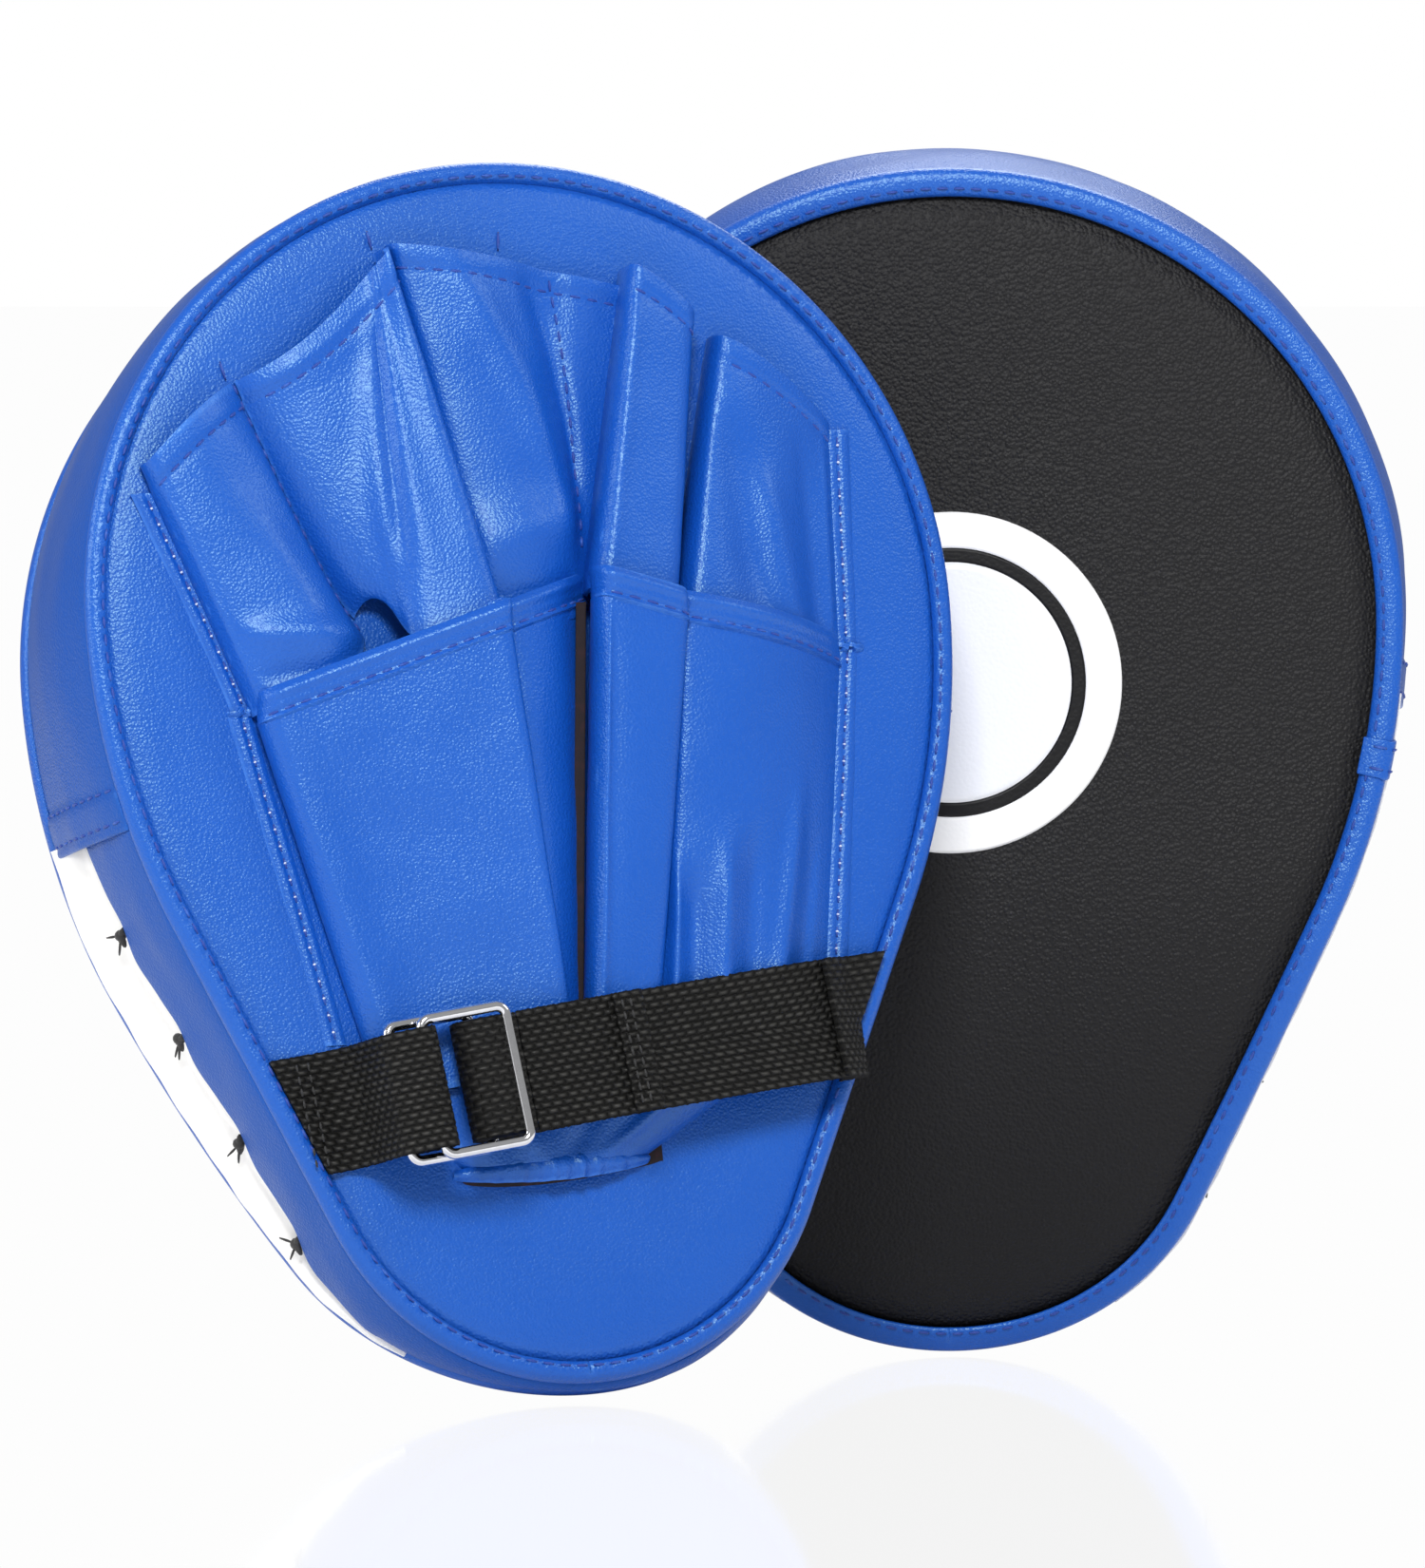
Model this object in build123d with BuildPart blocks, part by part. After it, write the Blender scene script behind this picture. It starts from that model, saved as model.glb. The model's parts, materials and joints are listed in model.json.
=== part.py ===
"""A pair of curved focus mitts standing together, right-hand mitt in front.

Every piece is built once, in the frame of the right-hand mitt: x to the little-finger side, y from the
back panel towards the striking face, z up from the lower tip, with y = 0 on the back panel's outer skin.
The left-hand mitt is the mirror image. The pair is placed with its origin at the right mitt's palm rest.
"""
import math
import os

from build123d import *

# ---------------------------------------------------------------- body of the mitt
WIDTH = 186.0
HEIGHT = 250.0
THICKNESS = 45.0
TIP_THICKNESS = 10.0
BEND_HEIGHT = 98.0
SIDE_CORNER_DROP = 32.21
TIP_RADIUS = 56.0
WALL_SHEAR = 0.18
SKIN = 1.5
SEAM_GAP = 0.1
BACK_SEAM_WIDTH = 4.0
BACK_SEAM_RISE = 0.8

# ---------------------------------------------------------------- striking face
FACE_THICKNESS = 2.0
IMPACT_FOAM_THICKNESS = 8.0
BINDING_WIDTH = 4.5
BINDING_THICKNESS = 0.8
BINDING_SKIRT = 2.5
TARGET_HEIGHT = 136.0
TARGET_RADIUS = 35.5
TARGET_THICKNESS = 0.5
RING_MARK_OUTER = 28.0
RING_MARK_INNER = 25.0
RING_MARK_THICKNESS = 0.25
TAB_HEIGHT = 8.0
TAB_LENGTH = 5.6
TAB_THICKNESS = 0.8

# ---------------------------------------------------------------- side walls
THUMB_HEM_HEIGHT = 116.0
LITTLE_HEM_HEIGHT = 132.0
WRAP_WIDTH_AT_TIP = 14.0
WRAP_WIDENING = 0.12
TIE_HEIGHTS = (33.0, 54.0, 76.0, 98.0)
TIE_RADIUS = 1.5
TIE_LENGTH = 5.0
TIE_FRONT_MARGIN = 3.0

# ---------------------------------------------------------------- hand pocket
COVER_SKIN = 1.6
COVER_GAP = 0.4
BAND_WIDTH = 5.5
BAND_THICKNESS = 2.2
BAND_GAP = 0.2
STALL_SHOULDER = 3.0
POCKET_SHOULDER = 3.5
POCKET_CROWN = 10.0
HEM_LENGTH = 3.0
HEM_THICKNESS = 2.4
WELT_WIDTH = 4.0
WELT_THICKNESS = 1.6
WELT_GAP = 0.6

WELT_STRAP_GAP = 5.5
THUMB_STALL_SEAM_GAP = 2.94

# The pattern of the hand pocket was drawn on a mitt of this size, and is graded to the size above.
PATTERN_WIDTH = 186.0
PATTERN_HEIGHT = 250.0


def graded(x: float, z: float) -> tuple:
    """A point of the pocket's pattern, placed on a back of the mitt's own width and height."""
    return x * WIDTH / PATTERN_WIDTH, z * HEIGHT / PATTERN_HEIGHT


def above_band(x: float, z: float) -> tuple:
    """A graded point above the knuckle band, which keeps its own width on a mitt of any size."""
    band = BAND_GAP + BAND_WIDTH
    x, z = graded(x, z - band)
    return x, z + band


STRAP_ORIGIN = graded(-55.0, 56.0)
POCKET_LEFT = graded(-40.0, 0.0)[0]
POCKET_RIGHT = graded(57.0, 0.0)[0]

# ---------------------------------------------------------------- wrist strap and rings
STRAP_ANGLE = 7.2
WEBBING_WIDTH = 24.5
WEBBING_THICKNESS = 1.6
WIRE_DIAMETER = 2.2
RING_WIDTH = 20.0
RING_HEIGHT = 30.0
RING_CORNER_RADIUS = 2.0
INNER_RING_BAR = 14.6
OUTER_RING_BAR = 20.9
OUTER_RING_LIFT = 2.9
LOOP_CLEARANCE = 0.35
WRAP_CLEARANCE = 0.9
STRAP_COVER_GAP = 2.0
STRAP_FOOT_MARGIN = 8.0
STRAP_KNEE_RISE = 6.0
STRAP_CREST_RISE = 0.4
SEWN_LENGTH = 7.0
TAIL_LENGTH = 27.0
TAIL_SLIT = 0.5
TAIL_FOLD = 6.0
TAIL_DROP = 0.3
RING_TAIL_GAP = 0.3

# ---------------------------------------------------------------- how the pair stands
RIGHT_YAW = 21.0
RIGHT_LEAN = 10.0
RIGHT_ROLL = 5.1
LEFT_LEAN = 5.0
LEFT_SIDESTEP = 74.3
PAIR_GAP = 1.0
PALM_POINT = (5.0, 0.0, 110.0)

# ---------------------------------------------------------------- derived sizes
HALF_WIDTH = WIDTH / 2
TOP_CENTRE = HEIGHT - HALF_WIDTH
WIRE_RADIUS = WIRE_DIAMETER / 2
FACE_DROP = THICKNESS - TIP_THICKNESS
BEND_RADIUS = (BEND_HEIGHT**2 + FACE_DROP**2) / (2 * FACE_DROP)
FOAM_FRONT_DEPTH = BINDING_THICKNESS + FACE_THICKNESS + IMPACT_FOAM_THICKNESS
FOAM_INSET = SKIN + SEAM_GAP
REACH = 2 * (WIDTH + HEIGHT)

# The straight taper touches the tip's arc, and would meet the upright side at the side corner. The side
# arc rounds that corner off, from the widest point down to the taper.
CORNER_FROM_TIP = Vector(HALF_WIDTH, TOP_CENTRE - SIDE_CORNER_DROP - TIP_RADIUS)
TAPER_ANGLE = math.degrees(
    math.atan2(CORNER_FROM_TIP.Y, CORNER_FROM_TIP.X)
    - math.acos(TIP_RADIUS / CORNER_FROM_TIP.length)
)
TAPER_NORMAL = Vector(1, 0).rotate(Axis.Z, TAPER_ANGLE)
SIDE_RADIUS = SIDE_CORNER_DROP / math.tan(math.radians(-TAPER_ANGLE / 2))
SIDE_CENTRE_X = HALF_WIDTH - SIDE_RADIUS

BAR_SPAN = RING_WIDTH - WIRE_DIAMETER
WRAP_RADIUS = WIRE_RADIUS + WRAP_CLEARANCE + WEBBING_THICKNESS / 2
INNER_RING_FAR_BAR = INNER_RING_BAR + BAR_SPAN


def pocket_height(u: float) -> float:
    """Height of the hand pocket's cover under the strap, at the distance u along the strap."""
    start = (POCKET_LEFT - STRAP_ORIGIN[0]) / math.cos(math.radians(STRAP_ANGLE))
    end = (POCKET_RIGHT - STRAP_ORIGIN[0]) / math.cos(math.radians(STRAP_ANGLE))
    across = (2 * u - start - end) / (end - start)
    return POCKET_SHOULDER + (POCKET_CROWN - POCKET_SHOULDER) * (1 - across**2)


OUTER_RING_REACH = OUTER_RING_BAR + RING_WIDTH - WIRE_RADIUS
TAIL_START = OUTER_RING_REACH + TAIL_SLIT + 0.7
RING_LEVEL = pocket_height(TAIL_START) + STRAP_COVER_GAP + WRAP_RADIUS + WEBBING_THICKNESS / 2
OUTER_RING_END_LIFT = WRAP_RADIUS + WEBBING_THICKNESS / 2 + RING_TAIL_GAP + WIRE_RADIUS
OUTER_RING_TILT = math.degrees(math.asin((OUTER_RING_END_LIFT - OUTER_RING_LIFT) / BAR_SPAN))


def half_width(z: float) -> float:
    """Half width of the mitt's outline at the height z above its tip."""
    taper_top = TOP_CENTRE + SIDE_RADIUS * TAPER_NORMAL.Y
    taper_foot = TIP_RADIUS + TIP_RADIUS * TAPER_NORMAL.Y
    if z >= TOP_CENTRE:
        return math.sqrt(HALF_WIDTH**2 - (z - TOP_CENTRE) ** 2)
    if z >= taper_top:
        return SIDE_CENTRE_X + math.sqrt(SIDE_RADIUS**2 - (z - TOP_CENTRE) ** 2)
    if z >= taper_foot:
        return TIP_RADIUS * TAPER_NORMAL.X - (z - taper_foot) * TAPER_NORMAL.Y / TAPER_NORMAL.X
    return math.sqrt(TIP_RADIUS**2 - (z - TIP_RADIUS) ** 2)


# ---------------------------------------------------------------- pattern of the hand pocket
thumb_stall_top = graded(0.0, 189.5)[1]
thumb_stall_corner = (BACK_SEAM_WIDTH + THUMB_STALL_SEAM_GAP - half_width(thumb_stall_top), thumb_stall_top)
WRIST_MOUTH = (graded(-24.0, 43.5), graded(16.0, 44.5), POCKET_SHOULDER, 12.0)

# Each finger stall has a lower and an upper end: left foot, right foot, shoulder height, crown height.
STALL_SECTIONS = {
    "thumb_stall": (
        (above_band(-60.6, 142.2), above_band(-39.6, 149.2), STALL_SHOULDER, 14.0),
        (thumb_stall_corner, graded(-59.3, 205.6), STALL_SHOULDER, 10.0),
    ),
    "index_stall": (
        (above_band(-36.0, 159.5), above_band(-10.3, 157.9), STALL_SHOULDER, 16.0),
        (graded(-58.4, 206.3), graded(-25.5, 231.5), STALL_SHOULDER, 11.0),
    ),
    "middle_stall": (
        (above_band(-9.6, 158.2), above_band(8.8, 163.6), STALL_SHOULDER, 15.0),
        (graded(-24.6, 232.0), graded(23.8, 222.5), STALL_SHOULDER, 12.0),
    ),
    "ring_stall": (
        (above_band(10.2, 163.8), above_band(28.3, 158.6), 2 * STALL_SHOULDER, 16.0),
        (graded(25.6, 226.0), graded(39.4, 216.0), 2 * STALL_SHOULDER, 12.0),
    ),
    "little_stall": (
        (above_band(29.2, 158.4), above_band(67.5, 150.4), STALL_SHOULDER, 15.0),
        (graded(43.6, 211.5), graded(69.5, 193.3), STALL_SHOULDER, 10.0),
    ),
}

# Each cover panel: upper left and right corner, heights along its upper edge (left, middle, right),
# where its lower edge starts and ends on the strap's centre line, and which sides have a foot.
COVER_PANELS = {
    "thumb_cover": (
        (graded(-60.5, 136.0), graded(-9.8, 151.5)),
        (8.0, 16.5, 18.0),
        (POCKET_LEFT, graded(-1.5, 0.0)[0]),
        (True, False),
    ),
    "middle_cover": (
        (graded(-9.4, 151.5), graded(9.3, 157.5)),
        (17.5, 18.4, 18.5),
        (graded(-1.1, 0.0)[0], graded(1.1, 0.0)[0]),
        (False, False),
    ),
    "ring_cover": (
        (graded(9.7, 157.5), graded(28.5, 152.0)),
        (18.5, 20.0, 18.5),
        (graded(1.5, 0.0)[0], graded(16.5, 0.0)[0]),
        (False, False),
    ),
    "outer_cover": (
        (graded(28.9, 152.0), graded(67.3, 144.0)),
        (18.0, 15.5, 5.0),
        (graded(16.9, 0.0)[0], POCKET_RIGHT),
        (False, True),
    ),
}


# ---------------------------------------------------------------- outline and placing helpers
def outline(inset: float) -> Face:
    """The mitt's egg-shaped outline in the back plane, drawn in from its edge by the inset."""
    side_touch = Vector(SIDE_CENTRE_X, TOP_CENTRE) + TAPER_NORMAL * (SIDE_RADIUS - inset)
    tip_touch = Vector(0, TIP_RADIUS) + TAPER_NORMAL * (TIP_RADIUS - inset)
    side_middle = Vector(SIDE_RADIUS - inset, 0).rotate(Axis.Z, TAPER_ANGLE / 2)
    widest = HALF_WIDTH - inset
    with BuildSketch(Plane.XZ, mode=Mode.PRIVATE) as face:
        with BuildLine():
            ThreePointArc((widest, TOP_CENTRE), (0, TOP_CENTRE + widest), (-widest, TOP_CENTRE))
            for sign in (1, -1):
                ThreePointArc(
                    (sign * widest, TOP_CENTRE),
                    (sign * (SIDE_CENTRE_X + side_middle.X), TOP_CENTRE + side_middle.Y),
                    (sign * side_touch.X, side_touch.Y),
                )
                Line((sign * side_touch.X, side_touch.Y), (sign * tip_touch.X, tip_touch.Y))
            ThreePointArc((tip_touch.X, tip_touch.Y), (0, inset), (-tip_touch.X, tip_touch.Y))
        make_face()
    return face.sketch.face()


def wall_prism(inset: float) -> Part:
    """The outline carried from the back to beyond the striking face, dropping with the wall's shear."""
    start = 2 * BACK_SEAM_WIDTH
    depth = THICKNESS + 2 * start
    drop = Vector(0, depth, -WALL_SHEAR * depth)
    base = outline(inset).moved(Location((0, -start, WALL_SHEAR * start)))
    with BuildPart(mode=Mode.PRIVATE) as prism:
        extrude(base, amount=drop.length, dir=drop.normalized())
    return prism.part


def front_slab(depth: float, back: float) -> Part:
    """The space from y = back to the bent front surface, drawn in from it by the depth."""
    low = -WALL_SHEAR * THICKNESS
    radius = BEND_RADIUS - depth
    centre = Vector(THICKNESS - BEND_RADIUS, BEND_HEIGHT)
    drop_angle = math.asin((BEND_HEIGHT - low) / radius)
    middle = centre + Vector(radius * math.cos(drop_angle / 2), -radius * math.sin(drop_angle / 2))
    foot = centre + Vector(radius * math.cos(drop_angle), -radius * math.sin(drop_angle))
    with BuildPart(mode=Mode.PRIVATE) as slab:
        with BuildSketch(Plane.YZ):
            with BuildLine():
                ThreePointArc((THICKNESS - depth, BEND_HEIGHT), (middle.X, middle.Y), (foot.X, foot.Y))
                Polyline(
                    (foot.X, foot.Y),
                    (min(back, foot.X) - 1, low),
                    (min(back, foot.X) - 1, 2 * HEIGHT),
                    (THICKNESS - depth, 2 * HEIGHT),
                    (THICKNESS - depth, BEND_HEIGHT),
                )
            make_face()
        extrude(amount=REACH, both=True)
        split(bisect_by=Plane.XZ.offset(-back), keep=Keep.BOTTOM)
    return slab.part


def world_block(x_low, x_high, y_low, y_high, z_low, z_high) -> Part:
    """An axis-aligned block between two corners, for cutting."""
    size = Vector(x_high - x_low, y_high - y_low, z_high - z_low)
    centre = Vector(x_high + x_low, y_high + y_low, z_high + z_low) * 0.5
    return Part() + Solid.make_box(size.X, size.Y, size.Z).moved(Location(centre - size * 0.5))


# ---------------------------------------------------------------- soft covers on the back
def base_plane(left: tuple, right: tuple) -> Plane:
    """Plane standing on the back along the line from left to right, its y axis pointing off the back."""
    run = Vector(right[0] - left[0], 0, right[1] - left[1])
    return Plane(origin=(left[0], 0, left[1]), x_dir=run, z_dir=(run.Z, 0, -run.X))


def blend(low: tuple, high: tuple, share: float) -> tuple:
    """The point that lies the given share of the way from low to high."""
    return tuple(a + (b - a) * share for a, b in zip(low, high))


def arch_face(left: tuple, right: tuple, shoulder: float, crown: float, inset: float) -> Face:
    """Upright feet, then an arc over the crown, drawn in by the inset."""
    length = math.dist(left, right)
    height = shoulder - inset / 2
    with BuildSketch(base_plane(left, right), mode=Mode.PRIVATE) as face:
        with BuildLine():
            Line((inset, height), (inset, 0))
            Line((inset, 0), (length - inset, 0))
            Line((length - inset, 0), (length - inset, height))
            ThreePointArc((length - inset, height), (length / 2, crown - inset), (inset, height))
        make_face()
    return face.sketch.face()


def arch_shell(low: tuple, high: tuple, skin: float) -> Part:
    """A hollow arch between two sections, each (left, right, shoulder, crown), open at both ends."""

    def section(share, inset):
        left = blend(low[0], high[0], share)
        right = blend(low[1], high[1], share)
        shoulder, crown = blend(low[2:], high[2:], share)
        return arch_face(left, right, shoulder, crown, inset)

    outside = [section(0, 0), section(1, 0)]
    inside = [section(-0.1, skin), section(1.1, skin)]
    with BuildPart() as shell:
        loft(outside, ruled=True)
        loft(inside, ruled=True, mode=Mode.SUBTRACT)
    return shell.part


def panel_face(left: tuple, right: tuple, heights: tuple, feet: tuple, skin: float) -> Face:
    """A curved strip of skin over the hollow, with an upright foot on each side that reaches the back."""
    length = math.dist(left, right)
    start, middle, end = heights
    first = skin if feet[0] else 0
    last = length - (skin if feet[1] else 0)
    with BuildSketch(base_plane(left, right), mode=Mode.PRIVATE) as face:
        with BuildLine():
            ThreePointArc((0, start), (length / 2, middle), (length, end))
            ThreePointArc((last, end - skin), (length / 2, middle - skin), (first, start - skin))
            if feet[0]:
                Polyline((first, start - skin), (first, 0), (0, 0), (0, start))
            else:
                Line((0, start - skin), (0, start))
            if feet[1]:
                Polyline((length, end), (length, 0), (last, 0), (last, end - skin))
            else:
                Line((length, end), (length, end - skin))
        make_face()
    return face.sketch.face()


def raised(point: tuple, lift: float) -> tuple:
    """The point moved up the back by the lift."""
    return point[0], point[1] + lift


def on_strap_line(x: float) -> tuple:
    """The point on the strap's centre line at the given x."""
    return x, STRAP_ORIGIN[1] + (x - STRAP_ORIGIN[0]) * math.tan(math.radians(STRAP_ANGLE))


def pocket_rise(x: float) -> float:
    """Height of the pocket's cover on the strap's centre line at the given x."""
    return pocket_height((x - STRAP_ORIGIN[0]) / math.cos(math.radians(STRAP_ANGLE)))


# ---------------------------------------------------------------- frame of the wrist strap
U_AXIS = Vector(1, 0, 0).rotate(Axis.Y, -STRAP_ANGLE)
W_AXIS = Vector(0, -1, 0)
V_AXIS = W_AXIS.cross(U_AXIS)
STRAP_PLANE = Plane(origin=(STRAP_ORIGIN[0], 0, STRAP_ORIGIN[1]), x_dir=U_AXIS, z_dir=-V_AXIS)


def ring_plane(bar: float, lift: float, tilt: float) -> Plane:
    """Plane of a ring hinged at the given bar, with its x axis pointing from that bar to the far bar."""
    x_dir = U_AXIS.rotate(Axis((0, 0, 0), -V_AXIS), tilt)
    return Plane(origin=STRAP_PLANE.from_local_coords((bar, lift, 0)), x_dir=x_dir, z_dir=x_dir.cross(V_AXIS))


def wire_ring(plane: Plane) -> Part:
    """A rounded rectangle bent from round wire, its near bar on the plane's origin."""
    middle = Plane(plane.from_local_coords((BAR_SPAN / 2, 0, 0)), x_dir=plane.x_dir, z_dir=plane.z_dir)
    with BuildPart() as ring:
        with BuildSketch(middle, mode=Mode.PRIVATE) as window:
            RectangleRounded(BAR_SPAN, RING_HEIGHT - WIRE_DIAMETER, RING_CORNER_RADIUS)
        path = window.sketch.face().outer_wire()
        with BuildSketch(Plane(origin=path @ 0, z_dir=path % 0)):
            Circle(WIRE_RADIUS)
        sweep(path=path)
    return ring.part


pieces = {}

# ---------------------------------------------------------------- shared cutting shapes
outer_wall = wall_prism(0)
inner_wall = wall_prism(SKIN)
foam_wall = wall_prism(FOAM_INSET)
binding_inner_wall = wall_prism(BINDING_WIDTH)
whole_depth = front_slab(0, SKIN)
under_cap = front_slab(BINDING_THICKNESS, SKIN)
under_skirt = front_slab(BINDING_THICKNESS + BINDING_SKIRT, SKIN)
under_face = front_slab(BINDING_THICKNESS + FACE_THICKNESS, SKIN)
under_impact_foam = front_slab(FOAM_FRONT_DEPTH, SKIN)
thumb_upper = world_block(-REACH, 0, -REACH, REACH, THUMB_HEM_HEIGHT, REACH)
little_upper = world_block(0, REACH, -REACH, REACH, LITTLE_HEM_HEIGHT, REACH)

# ---------------------------------------------------------------- body pieces
with BuildPart() as back_panel:
    extrude(outline(BACK_SEAM_WIDTH), amount=-SKIN)
pieces["back_panel"] = back_panel.part

with BuildPart() as back_binding:
    extrude(outline(0), amount=-SKIN)
    extrude(outline(0), amount=BACK_SEAM_RISE)
    extrude(outline(BACK_SEAM_WIDTH), amount=-SKIN, mode=Mode.SUBTRACT)
    extrude(outline(BACK_SEAM_WIDTH), amount=BACK_SEAM_RISE, mode=Mode.SUBTRACT)
pieces["back_binding"] = back_binding.part

with BuildPart() as foam_core:
    add(foam_wall)
    add(under_impact_foam, mode=Mode.INTERSECT)
pieces["foam_core"] = foam_core.part

with BuildPart() as impact_foam:
    add(foam_wall)
    add(under_face, mode=Mode.INTERSECT)
    add(under_impact_foam, mode=Mode.SUBTRACT)
pieces["impact_foam"] = impact_foam.part

with BuildPart() as striking_face:
    add(foam_wall)
    add(under_cap, mode=Mode.INTERSECT)
    add(under_face, mode=Mode.SUBTRACT)
pieces["striking_face"] = striking_face.part

with BuildPart() as edge_cap:
    add(outer_wall)
    add(binding_inner_wall, mode=Mode.SUBTRACT)
    add(whole_depth, mode=Mode.INTERSECT)
    add(under_cap, mode=Mode.SUBTRACT)
tab_top = LITTLE_HEM_HEIGHT - WALL_SHEAR * THICKNESS
tab_corner = (half_width(tab_top), THICKNESS, tab_top)
with BuildPart() as edge_binding:
    add(outer_wall)
    add(inner_wall, mode=Mode.SUBTRACT)
    add(under_cap, mode=Mode.INTERSECT)
    add(under_skirt, mode=Mode.SUBTRACT)
    add(edge_cap.part)
    with BuildSketch(Plane(origin=tab_corner, x_dir=(-1, 0, 0), z_dir=(0, 1, 0))):
        Rectangle(TAB_LENGTH, TAB_HEIGHT, align=(Align.MIN, Align.MAX))
    extrude(amount=TAB_THICKNESS)
pieces["edge_binding"] = edge_binding.part

with BuildPart() as wall_ring:
    add(outer_wall)
    add(inner_wall, mode=Mode.SUBTRACT)
    add(under_skirt, mode=Mode.INTERSECT)

with BuildPart() as upper_gusset:
    add(thumb_upper)
    add(little_upper)
    add(wall_ring.part, mode=Mode.INTERSECT)
pieces["upper_gusset"] = upper_gusset.part

wrap_width_at_top = WRAP_WIDTH_AT_TIP + WRAP_WIDENING * HEIGHT
with BuildPart() as wrap_zone:
    with BuildSketch(Plane.YZ):
        Polygon(
            (-THICKNESS, -THICKNESS),
            (WRAP_WIDTH_AT_TIP - WRAP_WIDENING * THICKNESS, -THICKNESS),
            (wrap_width_at_top, HEIGHT),
            (-THICKNESS, HEIGHT),
            align=None,
        )
    extrude(amount=REACH, both=True)

with BuildPart() as lower_wall:
    add(wall_ring.part)
    add(thumb_upper, mode=Mode.SUBTRACT)
    add(little_upper, mode=Mode.SUBTRACT)

with BuildPart() as lower_side_wrap:
    add(lower_wall.part)
    add(wrap_zone.part, mode=Mode.INTERSECT)
pieces["lower_side_wrap"] = lower_side_wrap.part

with BuildPart() as lacing_strip:
    add(lower_wall.part)
    add(wrap_zone.part, mode=Mode.SUBTRACT)
pieces["lacing_strip"] = lacing_strip.part

with BuildPart() as lacing_ties:
    for tie_height in TIE_HEIGHTS:
        bend_drop = max(BEND_HEIGHT - tie_height, 0)
        front = THICKNESS - BEND_RADIUS + math.sqrt(BEND_RADIUS**2 - bend_drop**2)
        tie_middle = front - BINDING_THICKNESS - BINDING_SKIRT - TIE_FRONT_MARGIN - TIE_LENGTH / 2
        wall_height = tie_height + WALL_SHEAR * tie_middle
        slope = math.atan(half_width(wall_height + 0.5) - half_width(wall_height - 0.5))
        stand_off = (TIE_RADIUS + SEAM_GAP) / math.cos(slope)
        for side in (-1, 1):
            x = side * (half_width(wall_height) + stand_off)
            with BuildSketch(Plane(origin=(x, tie_middle, tie_height), z_dir=(0, 1, -WALL_SHEAR))):
                Circle(TIE_RADIUS)
    extrude(amount=TIE_LENGTH / 2, both=True)
pieces["lacing_ties"] = lacing_ties.part

# ---------------------------------------------------------------- target on the striking face
face_front = THICKNESS - BINDING_THICKNESS
target_plane = Plane(origin=(0, face_front, TARGET_HEIGHT), x_dir=(-1, 0, 0), z_dir=(0, 1, 0))
with BuildPart() as target_patch:
    with BuildSketch(target_plane):
        Circle(TARGET_RADIUS)
    extrude(amount=TARGET_THICKNESS)
    with BuildSketch(target_plane.offset(TARGET_THICKNESS)):
        Circle(RING_MARK_OUTER)
        Circle(RING_MARK_INNER, mode=Mode.SUBTRACT)
    extrude(amount=-RING_MARK_THICKNESS, mode=Mode.SUBTRACT)
pieces["target_patch"] = target_patch.part

with BuildPart() as target_ring:
    with BuildSketch(target_plane.offset(TARGET_THICKNESS)):
        Circle(RING_MARK_OUTER)
        Circle(RING_MARK_INNER, mode=Mode.SUBTRACT)
    extrude(amount=-RING_MARK_THICKNESS)
pieces["target_ring"] = target_ring.part

# ---------------------------------------------------------------- finger stalls
for name, (lower, upper) in STALL_SECTIONS.items():
    pieces[name] = arch_shell(lower, upper, COVER_SKIN)

# ---------------------------------------------------------------- cover panels and knuckle band
for name, ((left, right), heights, (x_from, x_to), feet) in COVER_PANELS.items():
    lower_heights = (pocket_rise(x_from), pocket_rise((x_from + x_to) / 2), pocket_rise(x_to))
    with BuildPart() as cover_panel:
        lower_face = panel_face(on_strap_line(x_from), on_strap_line(x_to), lower_heights, feet, COVER_SKIN)
        loft([lower_face, panel_face(left, right, heights, feet, COVER_SKIN)], ruled=True)
    pieces[name] = cover_panel.part

with BuildPart() as knuckle_band:
    for (left, right), heights, _, feet in COVER_PANELS.values():
        band_heights = tuple(height + BAND_THICKNESS - COVER_SKIN for height in heights)
        sections = [
            panel_face(raised(left, lift), raised(right, lift), band_heights, feet, BAND_THICKNESS)
            for lift in (BAND_GAP, BAND_GAP + BAND_WIDTH)
        ]
        loft(sections, ruled=True)
pieces["knuckle_band"] = knuckle_band.part

# ---------------------------------------------------------------- wrist mouth
mouth_hem_lift = HEM_THICKNESS - COVER_SKIN
pocket_end = (on_strap_line(POCKET_LEFT), on_strap_line(POCKET_RIGHT), POCKET_SHOULDER, POCKET_CROWN)
pieces["wrist_cover"] = arch_shell(
    WRIST_MOUTH,
    (raised(pocket_end[0], -COVER_GAP), raised(pocket_end[1], -COVER_GAP), *pocket_end[2:]),
    COVER_SKIN,
)
hem_top = (
    raised(WRIST_MOUTH[0], -BAND_GAP),
    raised(WRIST_MOUTH[1], -BAND_GAP),
    WRIST_MOUTH[2],
    WRIST_MOUTH[3] + mouth_hem_lift,
)
hem_foot = (raised(hem_top[0], -HEM_LENGTH), raised(hem_top[1], -HEM_LENGTH), *hem_top[2:])
pieces["wrist_hem"] = arch_shell(hem_foot, hem_top, HEM_THICKNESS)

# ---------------------------------------------------------------- welts beside the covers
def welt_polygon(points: list, side: int) -> list:
    """Corners of a strip beside the feet of a cover, on its outer side."""
    inner = [(x + side * WELT_GAP, z) for x, z in points]
    outer = [(x + side * (WELT_GAP + WELT_WIDTH), z) for x, z in reversed(points)]
    return inner + outer


def foot_at(low: tuple, high: tuple, z: float) -> tuple:
    """The point at the height z on the straight foot line from low to high."""
    return blend(low, high, (z - low[1]) / (high[1] - low[1]))


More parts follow.
